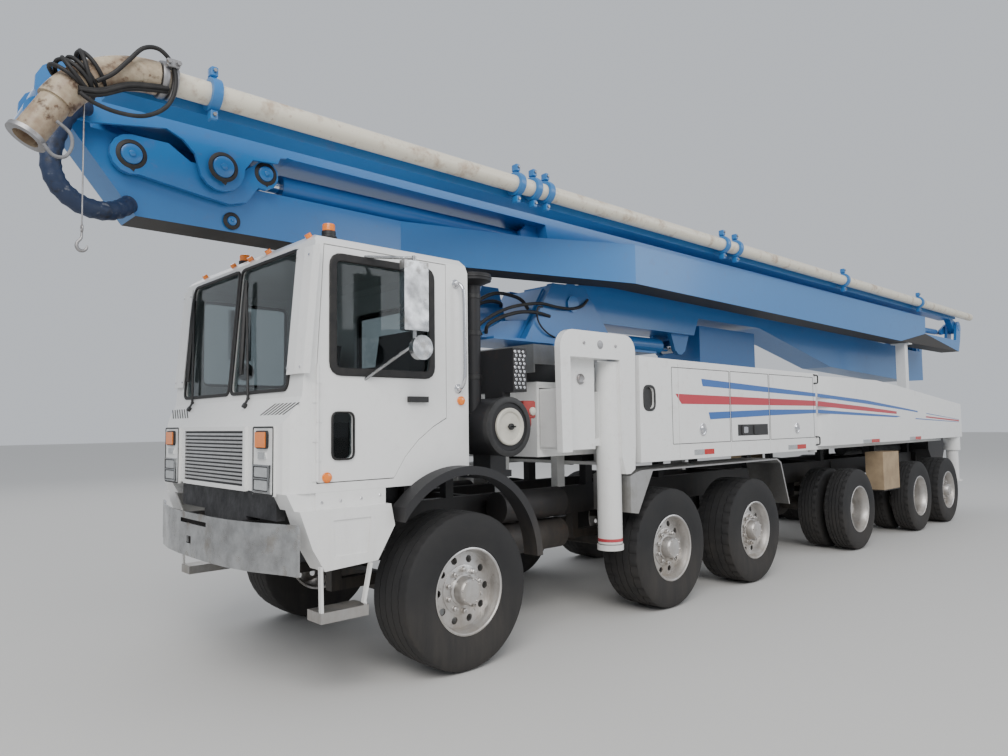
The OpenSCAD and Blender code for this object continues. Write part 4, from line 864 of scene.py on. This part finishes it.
# Station of a reflector's front and back end, its foot and top, and its body
REFLECTORS = ((-2.977, -3.151, 1.374, 1.426, "truck"), (-4.931, -5.150, 1.362, 1.414, "truck"),
              (-7.116, -7.398, 1.378, 1.424, "rear"), (-8.805, -9.044, 1.378, 1.424, "rear"))
CABINET_DOORS = ((-3.470, -2.450), (-4.290, -3.490), (-5.390, -4.310))
HINGE_X = -5.452
LATCHES = ((-2.960, 1.617), (-4.938, 1.603))


def stripe_outlines(rows, cuts, gap=0.004):
    """Splits a stripe at the panel gaps and gives one outline for each length."""
    table = np.array(rows)[::-1]
    ends = [table[0, 0], *sorted(c for c in cuts if table[0, 0] < c < table[-1, 0]), table[-1, 0]]
    outlines = []
    for a, b in zip(ends, ends[1:]):
        inner = table[(table[:, 0] > a + gap) & (table[:, 0] < b - gap), 0]
        x = np.concatenate([[a + gap], inner, [b - gap]])
        top, foot = np.interp(x, table[:, 0], table[:, 1]), np.interp(x, table[:, 0], table[:, 2])
        outlines.append(np.concatenate([np.stack([x, foot], 1), np.stack([x[::-1], top[::-1]], 1)]))
    return outlines


def panel_of(panel, name):
    """The body that a stripe or reflector rides on, and the distance of its panel."""
    if panel == "truck":
        return "truck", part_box("deck_cabinets")[1].y
    return "rear_outrigger_" + name, REAR_PANEL_Y


def make_stripes(sizes):
    """Red and blue bands along both sides, as thin film on the panels."""
    films = {}
    for colour, panel, rows in STRIPES:
        for side, name in SIDES:
            body, y = panel_of(panel, name)
            film = films.setdefault((colour, body, name), Parts())
            for outline in stripe_outlines(rows, PANEL_GAPS):
                film.add(plate(outline, sizes.stripe_film, on_side(y, side), 0.0003))
    for (colour, body, name), film in films.items():
        film.make(f"stripe_{colour}_{body}_{name}", "stripe_" + colour, body, 30)


def make_cabinet_trim():
    """Door gaps, latches, the gauge window, rubber round the oval window, hinge straps and reflectors."""
    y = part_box("deck_cabinets")[1].y
    seams, bright, rubber = Parts(), Parts(), Parts()
    for back, front in CABINET_DOORS:
        door = rectangle(back, 1.485, front, 2.205, 0.01)
        both(seams, band(door, 0.006, 0.0015, on_side(y), 0.0004), ring=True)
    for x, z in LATCHES:
        c = at(x, y, z)
        both(bright, turned([(0.062, 0), (0.062, 0.006), (0.054, 0.010), (0.047, 0.004), (0.040, 0.003),
                             (0.001, 0.002)], c, (0, 1, 0), 32))
        both(bright, plate(oval((x, z), 0.020, 0.040), 0.010, on_side(y + 0.002), 0.004))
    window = rectangle(-4.262, 1.531, -3.608, 1.668, 0.012)
    both(rubber, plate(inset(window, 0.010), 0.0012, on_side(y), 0.0004))
    for x in (-3.74, -3.99):
        box = rectangle(x - 0.09, 1.548, x + 0.055, 1.652, 0.02)
        both(rubber, plate(box, 0.014, on_side(y), 0.006))
    both(bright, plate(rectangle(-3.80, 1.568, -3.72, 1.632, 0.012), 0.017, on_side(y), 0.003))
    both(rubber, band(rectangle(-2.192, 1.792, -2.008, 2.028, 0.075), 0.024, 0.008, on_side(y)), ring=True)
    x = HINGE_X
    for foot, top in ((2.130, 2.236), (1.395, 1.495)):
        strap = [at(x + 0.04, y - 0.004, foot), at(x + 0.02, y + 0.012, foot + 0.004),
                 at(x - 0.03, y + 0.016, foot + 0.01), at(x - 0.043, y + 0.014, (foot + top) / 2),
                 at(x - 0.03, y + 0.016, top - 0.01), at(x + 0.02, y + 0.012, top - 0.004),
                 at(x + 0.04, y - 0.004, top)]
        both(rubber, sweep(strap, 0.009, 8, smooth_path=4))
    seams.make("cabinet_seams", "grime_and_shade_black", "truck", 30)
    bright.make("cabinet_latches", "rod_chrome", "truck", 35)
    rubber.make("cabinet_black_trim", "black_plastic", "truck", 35)
    for front, back, foot, top, panel in REFLECTORS:
        gap = front + 0.004
        for side, name in SIDES:
            body, face = panel_of(panel, name)
            tag = f"{body}_{name}_{round(-front * 10)}"
            for look, a, b in (("red_lens", back, front), ("lamp_glass", gap, gap + (front - back))):
                piece = Parts()
                piece.add(plate(rectangle(a, foot, b, top, 0.004), 0.003, on_side(face, side), 0.001))
                piece.make(f"reflector_{look}_{tag}", look, body, 30)

# Trim of the outriggers and of the gear behind the cab

LEG_X, LEG_Y, LEG_RADIUS, LEG_BAND_Z = -1.665, 1.115, 0.105, 0.700
CLEANER = at(-0.410, 1.200, 1.675)
STACK_X, STACK_Y = -0.270, 0.966


def make_leg_trim():
    """Bolts and discs on the front leg frames, and the red band on each front foot."""
    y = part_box("front_outrigger_left")[1].y
    r = LEG_RADIUS
    for side, name in SIDES:
        body = "front_outrigger_" + name
        metal, ring = Parts(), Parts()
        for x, z in ((-1.217, 2.348), (-1.626, 2.344)):
            metal.add(screw(at(x, side * y, z), (0, side, 0), 0.014, 0.008))
        metal.add(turned([(0.036, 0), (0.036, 0.003), (0.030, 0.005), (0.010, 0.0052), (0.001, 0.0052)],
                         at(-1.423, side * y, 2.345), (0, side, 0), 28))
        metal.add(turned([(0.044, 0), (0.044, 0.012), (0.036, 0.020), (0.030, 0.014), (0.001, 0.012)],
                         at(-1.30, side * 1.125, 2.06), (0, side, 0), 28))
        metal.make(body + "_fittings", "bare_steel", body, 30)
        ring.add(turned([(r - 0.004, -0.014), (r + 0.0012, -0.013), (r + 0.0012, 0.013), (r - 0.004, 0.014)],
                        at(LEG_X, side * LEG_Y, LEG_BAND_Z), (0, 0, 1), 48), ring=True)
        ring.make(body + "_red_band", "stripe_red", body, 30)


def make_side_gear_trim():
    """The air cleaner's dished end and strap, the punched strip, the stack's bands and the red valve."""
    pale, dark, steel, red = Parts(), Parts(), Parts(), Parts()
    pale.add(turned([(0.138, 0.0), (0.138, 0.016), (0.130, 0.022), (0.112, 0.018), (0.104, 0.006),
                     (0.060, 0.010), (0.035, 0.016), (0.001, 0.016)], CLEANER, (0, 1, 0), 64))
    dark.add(turned([(0.2155, -0.05), (0.222, -0.045), (0.222, 0.004), (0.205, 0.012), (0.180, 0.010),
                     (0.176, 0.0), (0.2, -0.04)], CLEANER, (0, 1, 0), 64), ring=True)
    dark.add(turned([(0.024, 0.014), (0.024, 0.034), (0.016, 0.040), (0.001, 0.040)], CLEANER, (0, 1, 0), 20))
    grip = rectangle(-0.040, -0.007, 0.040, 0.007, 0.004) + np.array([-0.41, 1.675])
    dark.add(plate(grip, 0.012, on_side(1.228), 0.003))
    dark.add(plate(rectangle(-0.596, 1.945, -0.459, 2.258, 0.004), 0.006, on_side(1.200)))
    stud = disc_profile(0.0115, 0.004, 0.001)
    for row in range(10):
        for col in range(3):
            x = -0.570 + col * 0.042 + 0.012 * (row % 2)
            steel.add(turned(stud, at(x, 1.206, 1.968 + row * 0.030), (0, 1, 0), 12))
    for z in (1.76, 2.05, 2.38, 2.66):
        dark.add(turned([(0.0562, -0.018), (0.060, -0.016), (0.060, 0.016), (0.0562, 0.018), (0.05, 0.0)],
                        at(STACK_X, STACK_Y, z), (0, 0, 1), 40), ring=True)
    dark.add(turned([(0.1402, -0.006), (0.146, -0.004), (0.146, 0.004), (0.1402, 0.006), (0.13, 0.0)],
                    at(STACK_X, STACK_Y, 2.800), (0, 0, 1), 48), ring=True)
    red.add(block((-0.745, 1.075, 1.735), (-0.612, 1.150, 1.872), 0.010))
    red.add(turned([(0.030, 0.0), (0.030, -0.05), (0.022, -0.075), (0.001, -0.078)],
                   at(-0.69, 1.112, 1.737), (0, 0, 1), 20))
    pale.add(turned([(0.032, 0), (0.032, 0.012), (0.024, 0.018), (0.001, 0.018)],
                    at(-0.705, 1.150, 1.790), (0, 1, 0), 24))
    pale.make("air_cleaner_end", "pale_plastic", "truck", 40)
    dark.make("side_gear_black", "black_plastic", "truck", 35)
    steel.make("side_gear_studs", "rod_chrome", "truck", 30)
    red.make("red_valve", "valve_red", "truck", 35)


# Boom: pins, hoses, cable loops, rope and hook

# Station, height, left face, boss radius and body of each pin that shows
BOOM_PINS = ((1.960, 3.400, 0.326, 0.070, "knee_3_link"), (1.415, 3.423, 0.402, 0.078, "boom_2"),
             (1.085, 3.470, 0.326, 0.060, "knee_3_link"), (1.305, 3.105, 0.282, 0.038, "boom_2"))


def make_pins():
    """A dark ring of grease, a cover plate and a grease nipple on each pin of the boom's nose."""
    for i, (x, z, y, r, body) in enumerate(BOOM_PINS):
        ring, cover = Parts(), Parts()
        c = at(x, y, z)
        ring.add(turned([(r + 0.022, -0.001), (r + 0.018, 0.003), (r - 0.002, 0.007), (r - 0.006, -0.001)],
                        c, (0, 1, 0), 48), ring=True)
        drip = [(x + a * r, z - b * r) for a, b in ((-0.5, 0.9), (-0.2, 1.55), (0.1, 1.35), (0.55, 0.95))]
        ring.add(plate(drip, 0.0008, on_side(y), 0.0003))
        cover.add(turned([(r - 0.008, -0.001), (r - 0.008, 0.010), (r - 0.016, 0.014), (r * 0.3, 0.014),
                          (r * 0.26, 0.022), (r * 0.10, 0.026), (0.001, 0.026)], c, (0, 1, 0), 48))
        ring.make(f"pin_grease_{i}", "grime_and_shade_black", body, 35)
        cover.make(f"pin_cover_{i}", "boom_blue", body, 30)


HOSE_BUNDLE = ((2.235, 0.392, 3.605), (2.315, 0.430, 3.550), (2.375, 0.460, 3.440), (2.412, 0.465, 3.310),
               (2.420, 0.465, 3.180), (2.372, 0.460, 3.070), (2.268, 0.450, 2.996), (2.140, 0.420, 2.985),
               (2.035, 0.350, 3.030), (1.960, 0.285, 3.090))
CABLE_LOOP = ((2.425, 1.098, 3.385), (2.36, 1.110, 3.345), (2.25, 1.115, 3.325), (2.12, 1.112, 3.345),
              (2.01, 1.105, 3.43), (1.965, 1.100, 3.55), (1.975, 1.096, 3.665), (2.045, 1.098, 3.735),
              (2.13, 1.102, 3.715), (2.205, 1.104, 3.62), (2.275, 1.098, 3.53), (2.345, 1.080, 3.475))
CABLE_RUN = ((2.43, 1.085, 3.40), (2.33, 1.080, 3.42), (2.20, 1.068, 3.495), (2.10, 1.06, 3.525),
             (1.99, 1.06, 3.545))
ROPE = ((2.380, 0.992, 3.385), (2.380, 0.993, 3.18), (2.379, 0.993, 2.95), (2.378, 0.992, 2.735))
STRAP = ((2.515, 1.062, 3.222), (2.462, 1.085, 3.170), (2.452, 1.09, 3.105), (2.480, 1.09, 3.045),
         (2.530, 1.085, 3.040), (2.572, 1.078, 3.088))
# Black hoses over the hood in front of the turret: points, and the outer diameter
TURRET_HOSES = (
    (((-0.93, 0.20, 2.49), (-0.86, 0.21, 2.62), (-0.94, 0.22, 2.77), (-1.08, 0.23, 2.86), (-1.24, 0.22, 2.90),
      (-1.46, 0.18, 2.90), (-1.56, 0.19, 2.865), (-1.625, 0.20, 2.79)), 0.034),
    (((-0.99, 0.10, 2.50), (-0.90, 0.10, 2.60), (-0.95, 0.11, 2.72), (-1.08, 0.12, 2.80), (-1.24, 0.11, 2.84),
      (-1.40, 0.05, 2.845), (-1.50, -0.045, 2.84)), 0.034),
    (((-0.96, 0.27, 2.49), (-0.90, 0.31, 2.56), (-1.02, 0.345, 2.655), (-1.22, 0.365, 2.745),
      (-1.42, 0.372, 2.795), (-1.64, 0.372, 2.825), (-1.84, 0.372, 2.812), (-2.05, 0.372, 2.815),
      (-2.22, 0.368, 2.86), (-2.34, 0.335, 2.94)), 0.030),
    (((-1.02, 0.27, 2.51), (-1.00, 0.32, 2.575), (-1.14, 0.345, 2.655), (-1.34, 0.362, 2.715),
      (-1.56, 0.362, 2.735), (-1.78, 0.335, 2.72)), 0.034),
    (((-1.67, 0.350, 2.80), (-1.59, 0.368, 2.785), (-1.575, 0.37, 2.70), (-1.62, 0.365, 2.62),
      (-1.72, 0.365, 2.55), (-1.84, 0.347, 2.52)), 0.016),
)


def hung(name, stations, radius, look, body, sides=12, wrap=0.0, with_pieces=(), steps=6, **facts):
    """A free hose or rope along a smooth path of stations."""
    path = spline([at(*p) for p in stations], steps)
    ripple = radius + wrap * (0.5 + 0.5 * np.cos(np.arange(len(path)) * 2.1))
    parts = Parts()
    parts.add(sweep(path, ripple, sides))
    piece = parts.make(name, look, body, 50)
    facts.setdefault("far_end", "object")


def make_nose_cords(sizes):
    """The hose bundle at the boom's nose, the cable loop on the elbow, the hook's rope and the strap."""
    hung("nose_hose_bundle", HOSE_BUNDLE, 0.052, "wrapped_hose", "boom_3", 18, 0.006,
         stiffness="stiff", lay="hanging")
    hung("elbow_cable_loop", CABLE_LOOP, sizes.cable_radius, "hose_rubber", "boom_4",
         stiffness="medium", lay="loose")
    hook = Parts()
    x, y, z = ROPE[-1]
    turn = np.linspace(-0.5 * math.pi, 1.5 * math.pi, 24, endpoint=False)
    eye = [at(x, y + 0.014 * math.cos(t), z - 0.014 + 0.017 * math.sin(t)) for t in turn]
    hook.add(sweep(eye, 0.005, 8, closed=True), ring=True)
    shank = [(0.0, -0.028), (0.0, -0.050), (0.004, -0.068), (0.019, -0.088), (0.022, -0.110), (0.008, -0.128),
             (-0.012, -0.127), (-0.025, -0.112), (-0.025, -0.097)]
    hook.add(sweep([at(x + dx, y, z + dz) for dx, dz in shank],
                   [0.005, 0.006, 0.007, 0.008, 0.009, 0.009, 0.008, 0.006, 0.003], 10, smooth_path=5))
    hook_piece = hook.make("lifting_hook", "bare_steel", "boom_4", 45)
    hung("hook_rope", ROPE, 0.004, "bare_steel", "boom_4", 8, with_pieces=[hook_piece], far_end="tool",
         stiffness="limp", lay="hanging")
    hung("elbow_strap", STRAP, 0.009, "strap_grey", "boom_4", 8, stiffness="limp", lay="loose")


def make_turret_hoses():
    """Black hoses that loop from the hood to the turret's cheeks."""
    for i, (points, diameter) in enumerate(TURRET_HOSES, 1):
        hung(f"turret_hose_{i}", points, diameter / 2, "hose_rubber", "turret", 10,
             stiffness="stiff", lay="hanging")


def make_pipe_clamps():
    """Clamps round the long pipe, each with a lug and a bolt above and below."""
    clamps, bolts = Parts(), Parts()
    for x in PIPE_CLAMPS:
        clamps.add(turned([(0.069, -0.030), (0.094, -0.028), (0.098, 0.0), (0.094, 0.028), (0.069, 0.030)],
                          at(x, PIPE_Y, PIPE_Z), (1, 0, 0), 40), ring=True)
        for foot, bolt in ((PIPE_Z - 0.156, PIPE_Z - 0.125), (PIPE_Z + 0.100, PIPE_Z + 0.135)):
            clamps.add(block((x - 0.022, PIPE_Y - 0.030, foot), (x + 0.022, PIPE_Y + 0.030, foot + 0.062),
                             0.008))
            bolts.add(screw(at(x, PIPE_Y + 0.028, bolt), (0, 1, 0), 0.012, 0.016))
    clamps.make("pipe_clamps", "boom_blue", "boom_4", 35)
    bolts.make("pipe_clamp_bolts", "bare_steel", "boom_4", 30)


def make_elbow_wraps(sizes):
    """Turns of black cable tight round the elbow, the run from them back to the clamp, and the clamp."""
    wraps, clamp = Parts(), Parts()
    r = sizes.cable_radius
    a, b, n = basis(np.array([0.80, 0.0, -0.60]))
    t = np.linspace(0, TAU, 48, endpoint=False)
    around = np.cos(t)[:, None] * a + np.sin(t)[:, None] * b
    for k in range(6):
        mid = np.array(at(2.355 + 0.019 * k, PIPE_Y, 3.548 - 0.016 * k))
        reach = 0.094 + r + 0.006 * math.sin(k * 2.3)
        tilt = 0.05 * math.sin(k * 1.7)
        turn = mid + reach * around + tilt * np.cos(t + k)[:, None] * n
        wraps.add(sweep(turn, r, 8, closed=True), ring=True)
    for k in range(4):
        dy, dz = 0.012 * math.cos(k * 1.6), 0.014 * math.sin(k * 1.6)
        run = [at(x, y + dy, z + dz) for x, y, z in CABLE_RUN]
        wraps.add(sweep(run, r, 8, smooth_path=5))
    wraps.make("elbow_cable_turns", "hose_rubber", "boom_4", 50)
    clamp.add(block((1.945, 1.085, 3.655), (2.015, 1.12, 3.70), 0.006))
    for x in (1.955, 2.005):
        clamp.add(turned([(0.079, -0.018), (0.100, -0.016), (0.104, 0.0), (0.100, 0.016), (0.079, 0.018)],
                         at(x, PIPE_Y, PIPE_Z), (1, 0, 0), 40), ring=True)
        clamp.add(screw(at(x, 1.12, 3.678), (0, 1, 0), 0.014, 0.016))
    clamp.make("elbow_clamp", "bare_steel", "boom_4", 35)


# Camera, floor and light

PHOTO_W = 1008
FOCAL_PX = 735.88
CAMERA_STATION = (3.3331, 5.1681, 1.6992)
CAMERA_YAW, CAMERA_PITCH, CAMERA_ROLL = -2.320996, 0.0616418, -0.0126468


def make_camera():
    """The camera at the photograph's place: forward, right and up from yaw, pitch and roll."""
    forward = Vector((math.cos(CAMERA_YAW) * math.cos(CAMERA_PITCH),
                      math.sin(CAMERA_YAW) * math.cos(CAMERA_PITCH), math.sin(CAMERA_PITCH)))
    right = Vector((math.sin(CAMERA_YAW), -math.cos(CAMERA_YAW), 0))
    up = right.cross(forward)
    c, s = math.cos(CAMERA_ROLL), math.sin(CAMERA_ROLL)
    right, up = right * c + up * s, up * c - right * s
    data = bpy.data.cameras.new("photo_camera")
    data.sensor_width = 36.0
    data.lens = 36.0 * FOCAL_PX / PHOTO_W
    data.clip_end = 200.0
    camera = bpy.data.objects.new("photo_camera", data)
    bpy.context.scene.collection.objects.link(camera)
    turn = Matrix((right, up, -forward)).transposed().to_4x4()
    camera.matrix_world = Matrix.Translation(Vector(at(*CAMERA_STATION))) @ turn
    bpy.context.scene.camera = camera
    return camera


def area_light(name, place, target, size, power, colour=(1, 1, 1)):
    """A soft area light that points at a target."""
    data = bpy.data.lights.new(name, "AREA")
    data.shape = "RECTANGLE"
    data.size, data.size_y = size
    data.energy = power
    data.color = colour
    obj = bpy.data.objects.new(name, data)
    obj.location = place
    obj.rotation_euler = (Vector(target) - Vector(place)).to_track_quat("-Z", "Y").to_euler()
    bpy.context.scene.collection.objects.link(obj)


def make_stage():
    """Pale floor, pale surroundings and soft lights from above."""
    floor_mat = bpy.data.materials.new("pale_floor")
    floor_mat.use_nodes = True
    shade = floor_mat.node_tree.nodes["Principled BSDF"]
    shade.inputs["Base Color"].default_value = (0.62, 0.61, 0.59, 1)
    shade.inputs["Roughness"].default_value = 0.75
    span = 90.0
    corners = np.array([[-span, -span, 0], [span, -span, 0], [span, span, 0], [-span, span, 0]])
    floor = mesh_object("floor", corners, [(0, 1, 2, 3)], floor_mat)
    world = bpy.data.worlds.new("soft_sky")
    bpy.context.scene.world = world
    world.use_nodes = True
    sky = world.node_tree.nodes["Background"]
    sky.inputs["Color"].default_value = (0.86, 0.90, 0.96, 1)
    sky.inputs["Strength"].default_value = 0.72
    area_light("key", at(9, 12, 14), at(-4, 0, 1.5), (12, 12), 3000, (1.0, 0.98, 0.95))
    area_light("fill", at(-16, 16, 9), at(-6, 0, 1.5), (14, 8), 900, (0.95, 0.97, 1.0))
    area_light("back", at(-4, -16, 12), at(-4, 0, 2.0), (16, 8), 500)


# Sizes and colours that a user would change


def length(name, note, default):
    """A length setting in metres."""
    return FloatProperty(name=name, description=note, default=default, min=0.0001, unit="LENGTH",
                         subtype="DISTANCE")


def colour(name, note, default):
    """A colour setting."""
    return FloatVectorProperty(name=name, description=note, default=default, size=3, min=0, max=1,
                               subtype="COLOR")


class TruckSizes(bpy.types.PropertyGroup):
    """Sizes of the trim"""

    gasket: length("Window rubber", "Width of the rubber round each window", 0.052)
    side_lamp: length("Side lamp", "Radius of a round side lamp", 0.032)
    beacon_height: length("Beacon height", "Height of a turning lamp on the roof", 0.098)
    handle_radius: length("Grab handle", "Radius of the bar behind each door", 0.015)
    stripe_film: length("Stripe film", "Thickness of the coloured bands", 0.0012)
    cable_radius: length("Cable", "Radius of the black cable on the boom's elbow", 0.0115)


class TruckColours(bpy.types.PropertyGroup):
    """Colours of the paints"""

    cab_white: colour("Cab", "Paint of the cab and its doors", (0.86, 0.862, 0.85))
    body_white: colour("Body", "Paint of the cabinets and leg frames", (0.84, 0.842, 0.83))
    boom_blue: colour("Boom", "Paint of the boom", (0.032, 0.185, 0.47))
    turret_blue: colour("Turret", "Paint of the turret and tank", (0.025, 0.15, 0.40))
    pipe_cream: colour("Pipe", "Paint of the delivery pipe", (0.76, 0.71, 0.59))
    stripe_red: colour("Red band", "Upper band on the sides", (0.50, 0.03, 0.05))
    stripe_blue: colour("Blue bands", "Lower bands on the sides", (0.03, 0.13, 0.42))


# Operators


class TRUCK_OT_finishes(bpy.types.Operator):
    """Makes the finishes and gives the frame its own"""

    bl_idname = "truck.finishes"
    bl_label = "Finishes"

    def execute(self, context):
        LOOKS.update(make_finishes(context.scene.truck_colours))
        paint_frame()
        return {"FINISHED"}


class TRUCK_OT_wheels(bpy.types.Operator):
    """Makes tyres, rims, hubs and nuts for the twelve wheels"""

    bl_idname = "truck.wheels"
    bl_label = "Wheels"

    def execute(self, context):
        for axle in range(1, 7):
            for side in ("left", "right"):
                wheel_pieces(f"wheel_{axle}_{side}", axle in TWIN_AXLES, axle == 1)
        return {"FINISHED"}


class TRUCK_OT_stage(bpy.types.Operator):
    """Makes the camera, the floor and the lights"""

    bl_idname = "truck.stage"
    bl_label = "Stage"

    def execute(self, context):
        make_camera()
        make_stage()
        return {"FINISHED"}


class TRUCK_OT_nose_cords(bpy.types.Operator):
    """Makes the hoses, cable loop, rope and strap at the boom's nose, and the hoses at the turret"""

    bl_idname = "truck.nose_cords"
    bl_label = "Hoses and ropes"

    def execute(self, context):
        make_nose_cords(context.scene.truck_sizes)
        make_turret_hoses()
        return {"FINISHED"}


class TRUCK_OT_boom_trim(bpy.types.Operator):
    """Makes the pins' covers and grease, and the cable turns and clamp at the elbow"""

    bl_idname = "truck.boom_trim"
    bl_label = "Boom trim"

    def execute(self, context):
        make_pins()
        make_pipe_clamps()
        make_elbow_wraps(context.scene.truck_sizes)
        return {"FINISHED"}


class TRUCK_OT_cab_windows(bpy.types.Operator):
    """Makes the window rubbers and the panes of the doors"""

    bl_idname = "truck.cab_windows"
    bl_label = "Cab windows"

    def execute(self, context):
        make_windows(context.scene.truck_sizes)
        return {"FINISHED"}


class TRUCK_OT_cab_trim(bpy.types.Operator):
    """Makes the cab's face, lamps, beacons and grab handles"""

    bl_idname = "truck.cab_trim"
    bl_label = "Cab trim"

    def execute(self, context):
        make_face()
        make_lamps(context.scene.truck_sizes)
        make_cab_metal(context.scene.truck_sizes)
        return {"FINISHED"}


class TRUCK_OT_body_trim(bpy.types.Operator):
    """Makes the stripes, door gaps, latches and reflectors on the body's sides"""

    bl_idname = "truck.body_trim"
    bl_label = "Body trim"

    def execute(self, context):
        make_stripes(context.scene.truck_sizes)
        make_cabinet_trim()
        return {"FINISHED"}


class TRUCK_OT_gear_trim(bpy.types.Operator):
    """Makes the fittings on the leg frames and on the gear behind the cab"""

    bl_idname = "truck.gear_trim"
    bl_label = "Gear trim"

    def execute(self, context):
        make_leg_trim()
        make_side_gear_trim()
        return {"FINISHED"}


class TRUCK_PT_panel(bpy.types.Panel):
    """Lists the sizes, the colours and the operators in the sidebar"""

    bl_idname = "TRUCK_PT_panel"
    bl_label = "Boom truck"
    bl_space_type = "VIEW_3D"
    bl_region_type = "UI"
    bl_category = "Boom truck"

    def draw(self, context):
        for settings in (context.scene.truck_sizes, context.scene.truck_colours):
            for name in settings.__annotations__:
                self.layout.prop(settings, name)
        for step in STEPS:
            self.layout.operator(step.bl_idname)


STEPS = (TRUCK_OT_stage, TRUCK_OT_finishes, TRUCK_OT_nose_cords, TRUCK_OT_wheels, TRUCK_OT_boom_trim,
         TRUCK_OT_cab_windows, TRUCK_OT_cab_trim, TRUCK_OT_body_trim, TRUCK_OT_gear_trim)
CLASSES = (TruckSizes, TruckColours, *STEPS, TRUCK_PT_panel)


def register():
    for cls in CLASSES:
        bpy.utils.register_class(cls)
    bpy.types.Scene.truck_sizes = PointerProperty(type=TruckSizes)
    bpy.types.Scene.truck_colours = PointerProperty(type=TruckColours)


def unregister():
    del bpy.types.Scene.truck_sizes, bpy.types.Scene.truck_colours
    for cls in reversed(CLASSES):
        bpy.utils.unregister_class(cls)


def main():
    """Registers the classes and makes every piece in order."""
    register()
    bpy.ops.truck.stage()
    bpy.ops.truck.finishes()
    bpy.ops.truck.nose_cords()
    bpy.ops.truck.wheels()
    bpy.ops.truck.boom_trim()
    bpy.ops.truck.cab_windows()
    bpy.ops.truck.cab_trim()
    bpy.ops.truck.body_trim()
    bpy.ops.truck.gear_trim()
    bpy.context.view_layer.update()


if __name__ == "__main__":
    main()
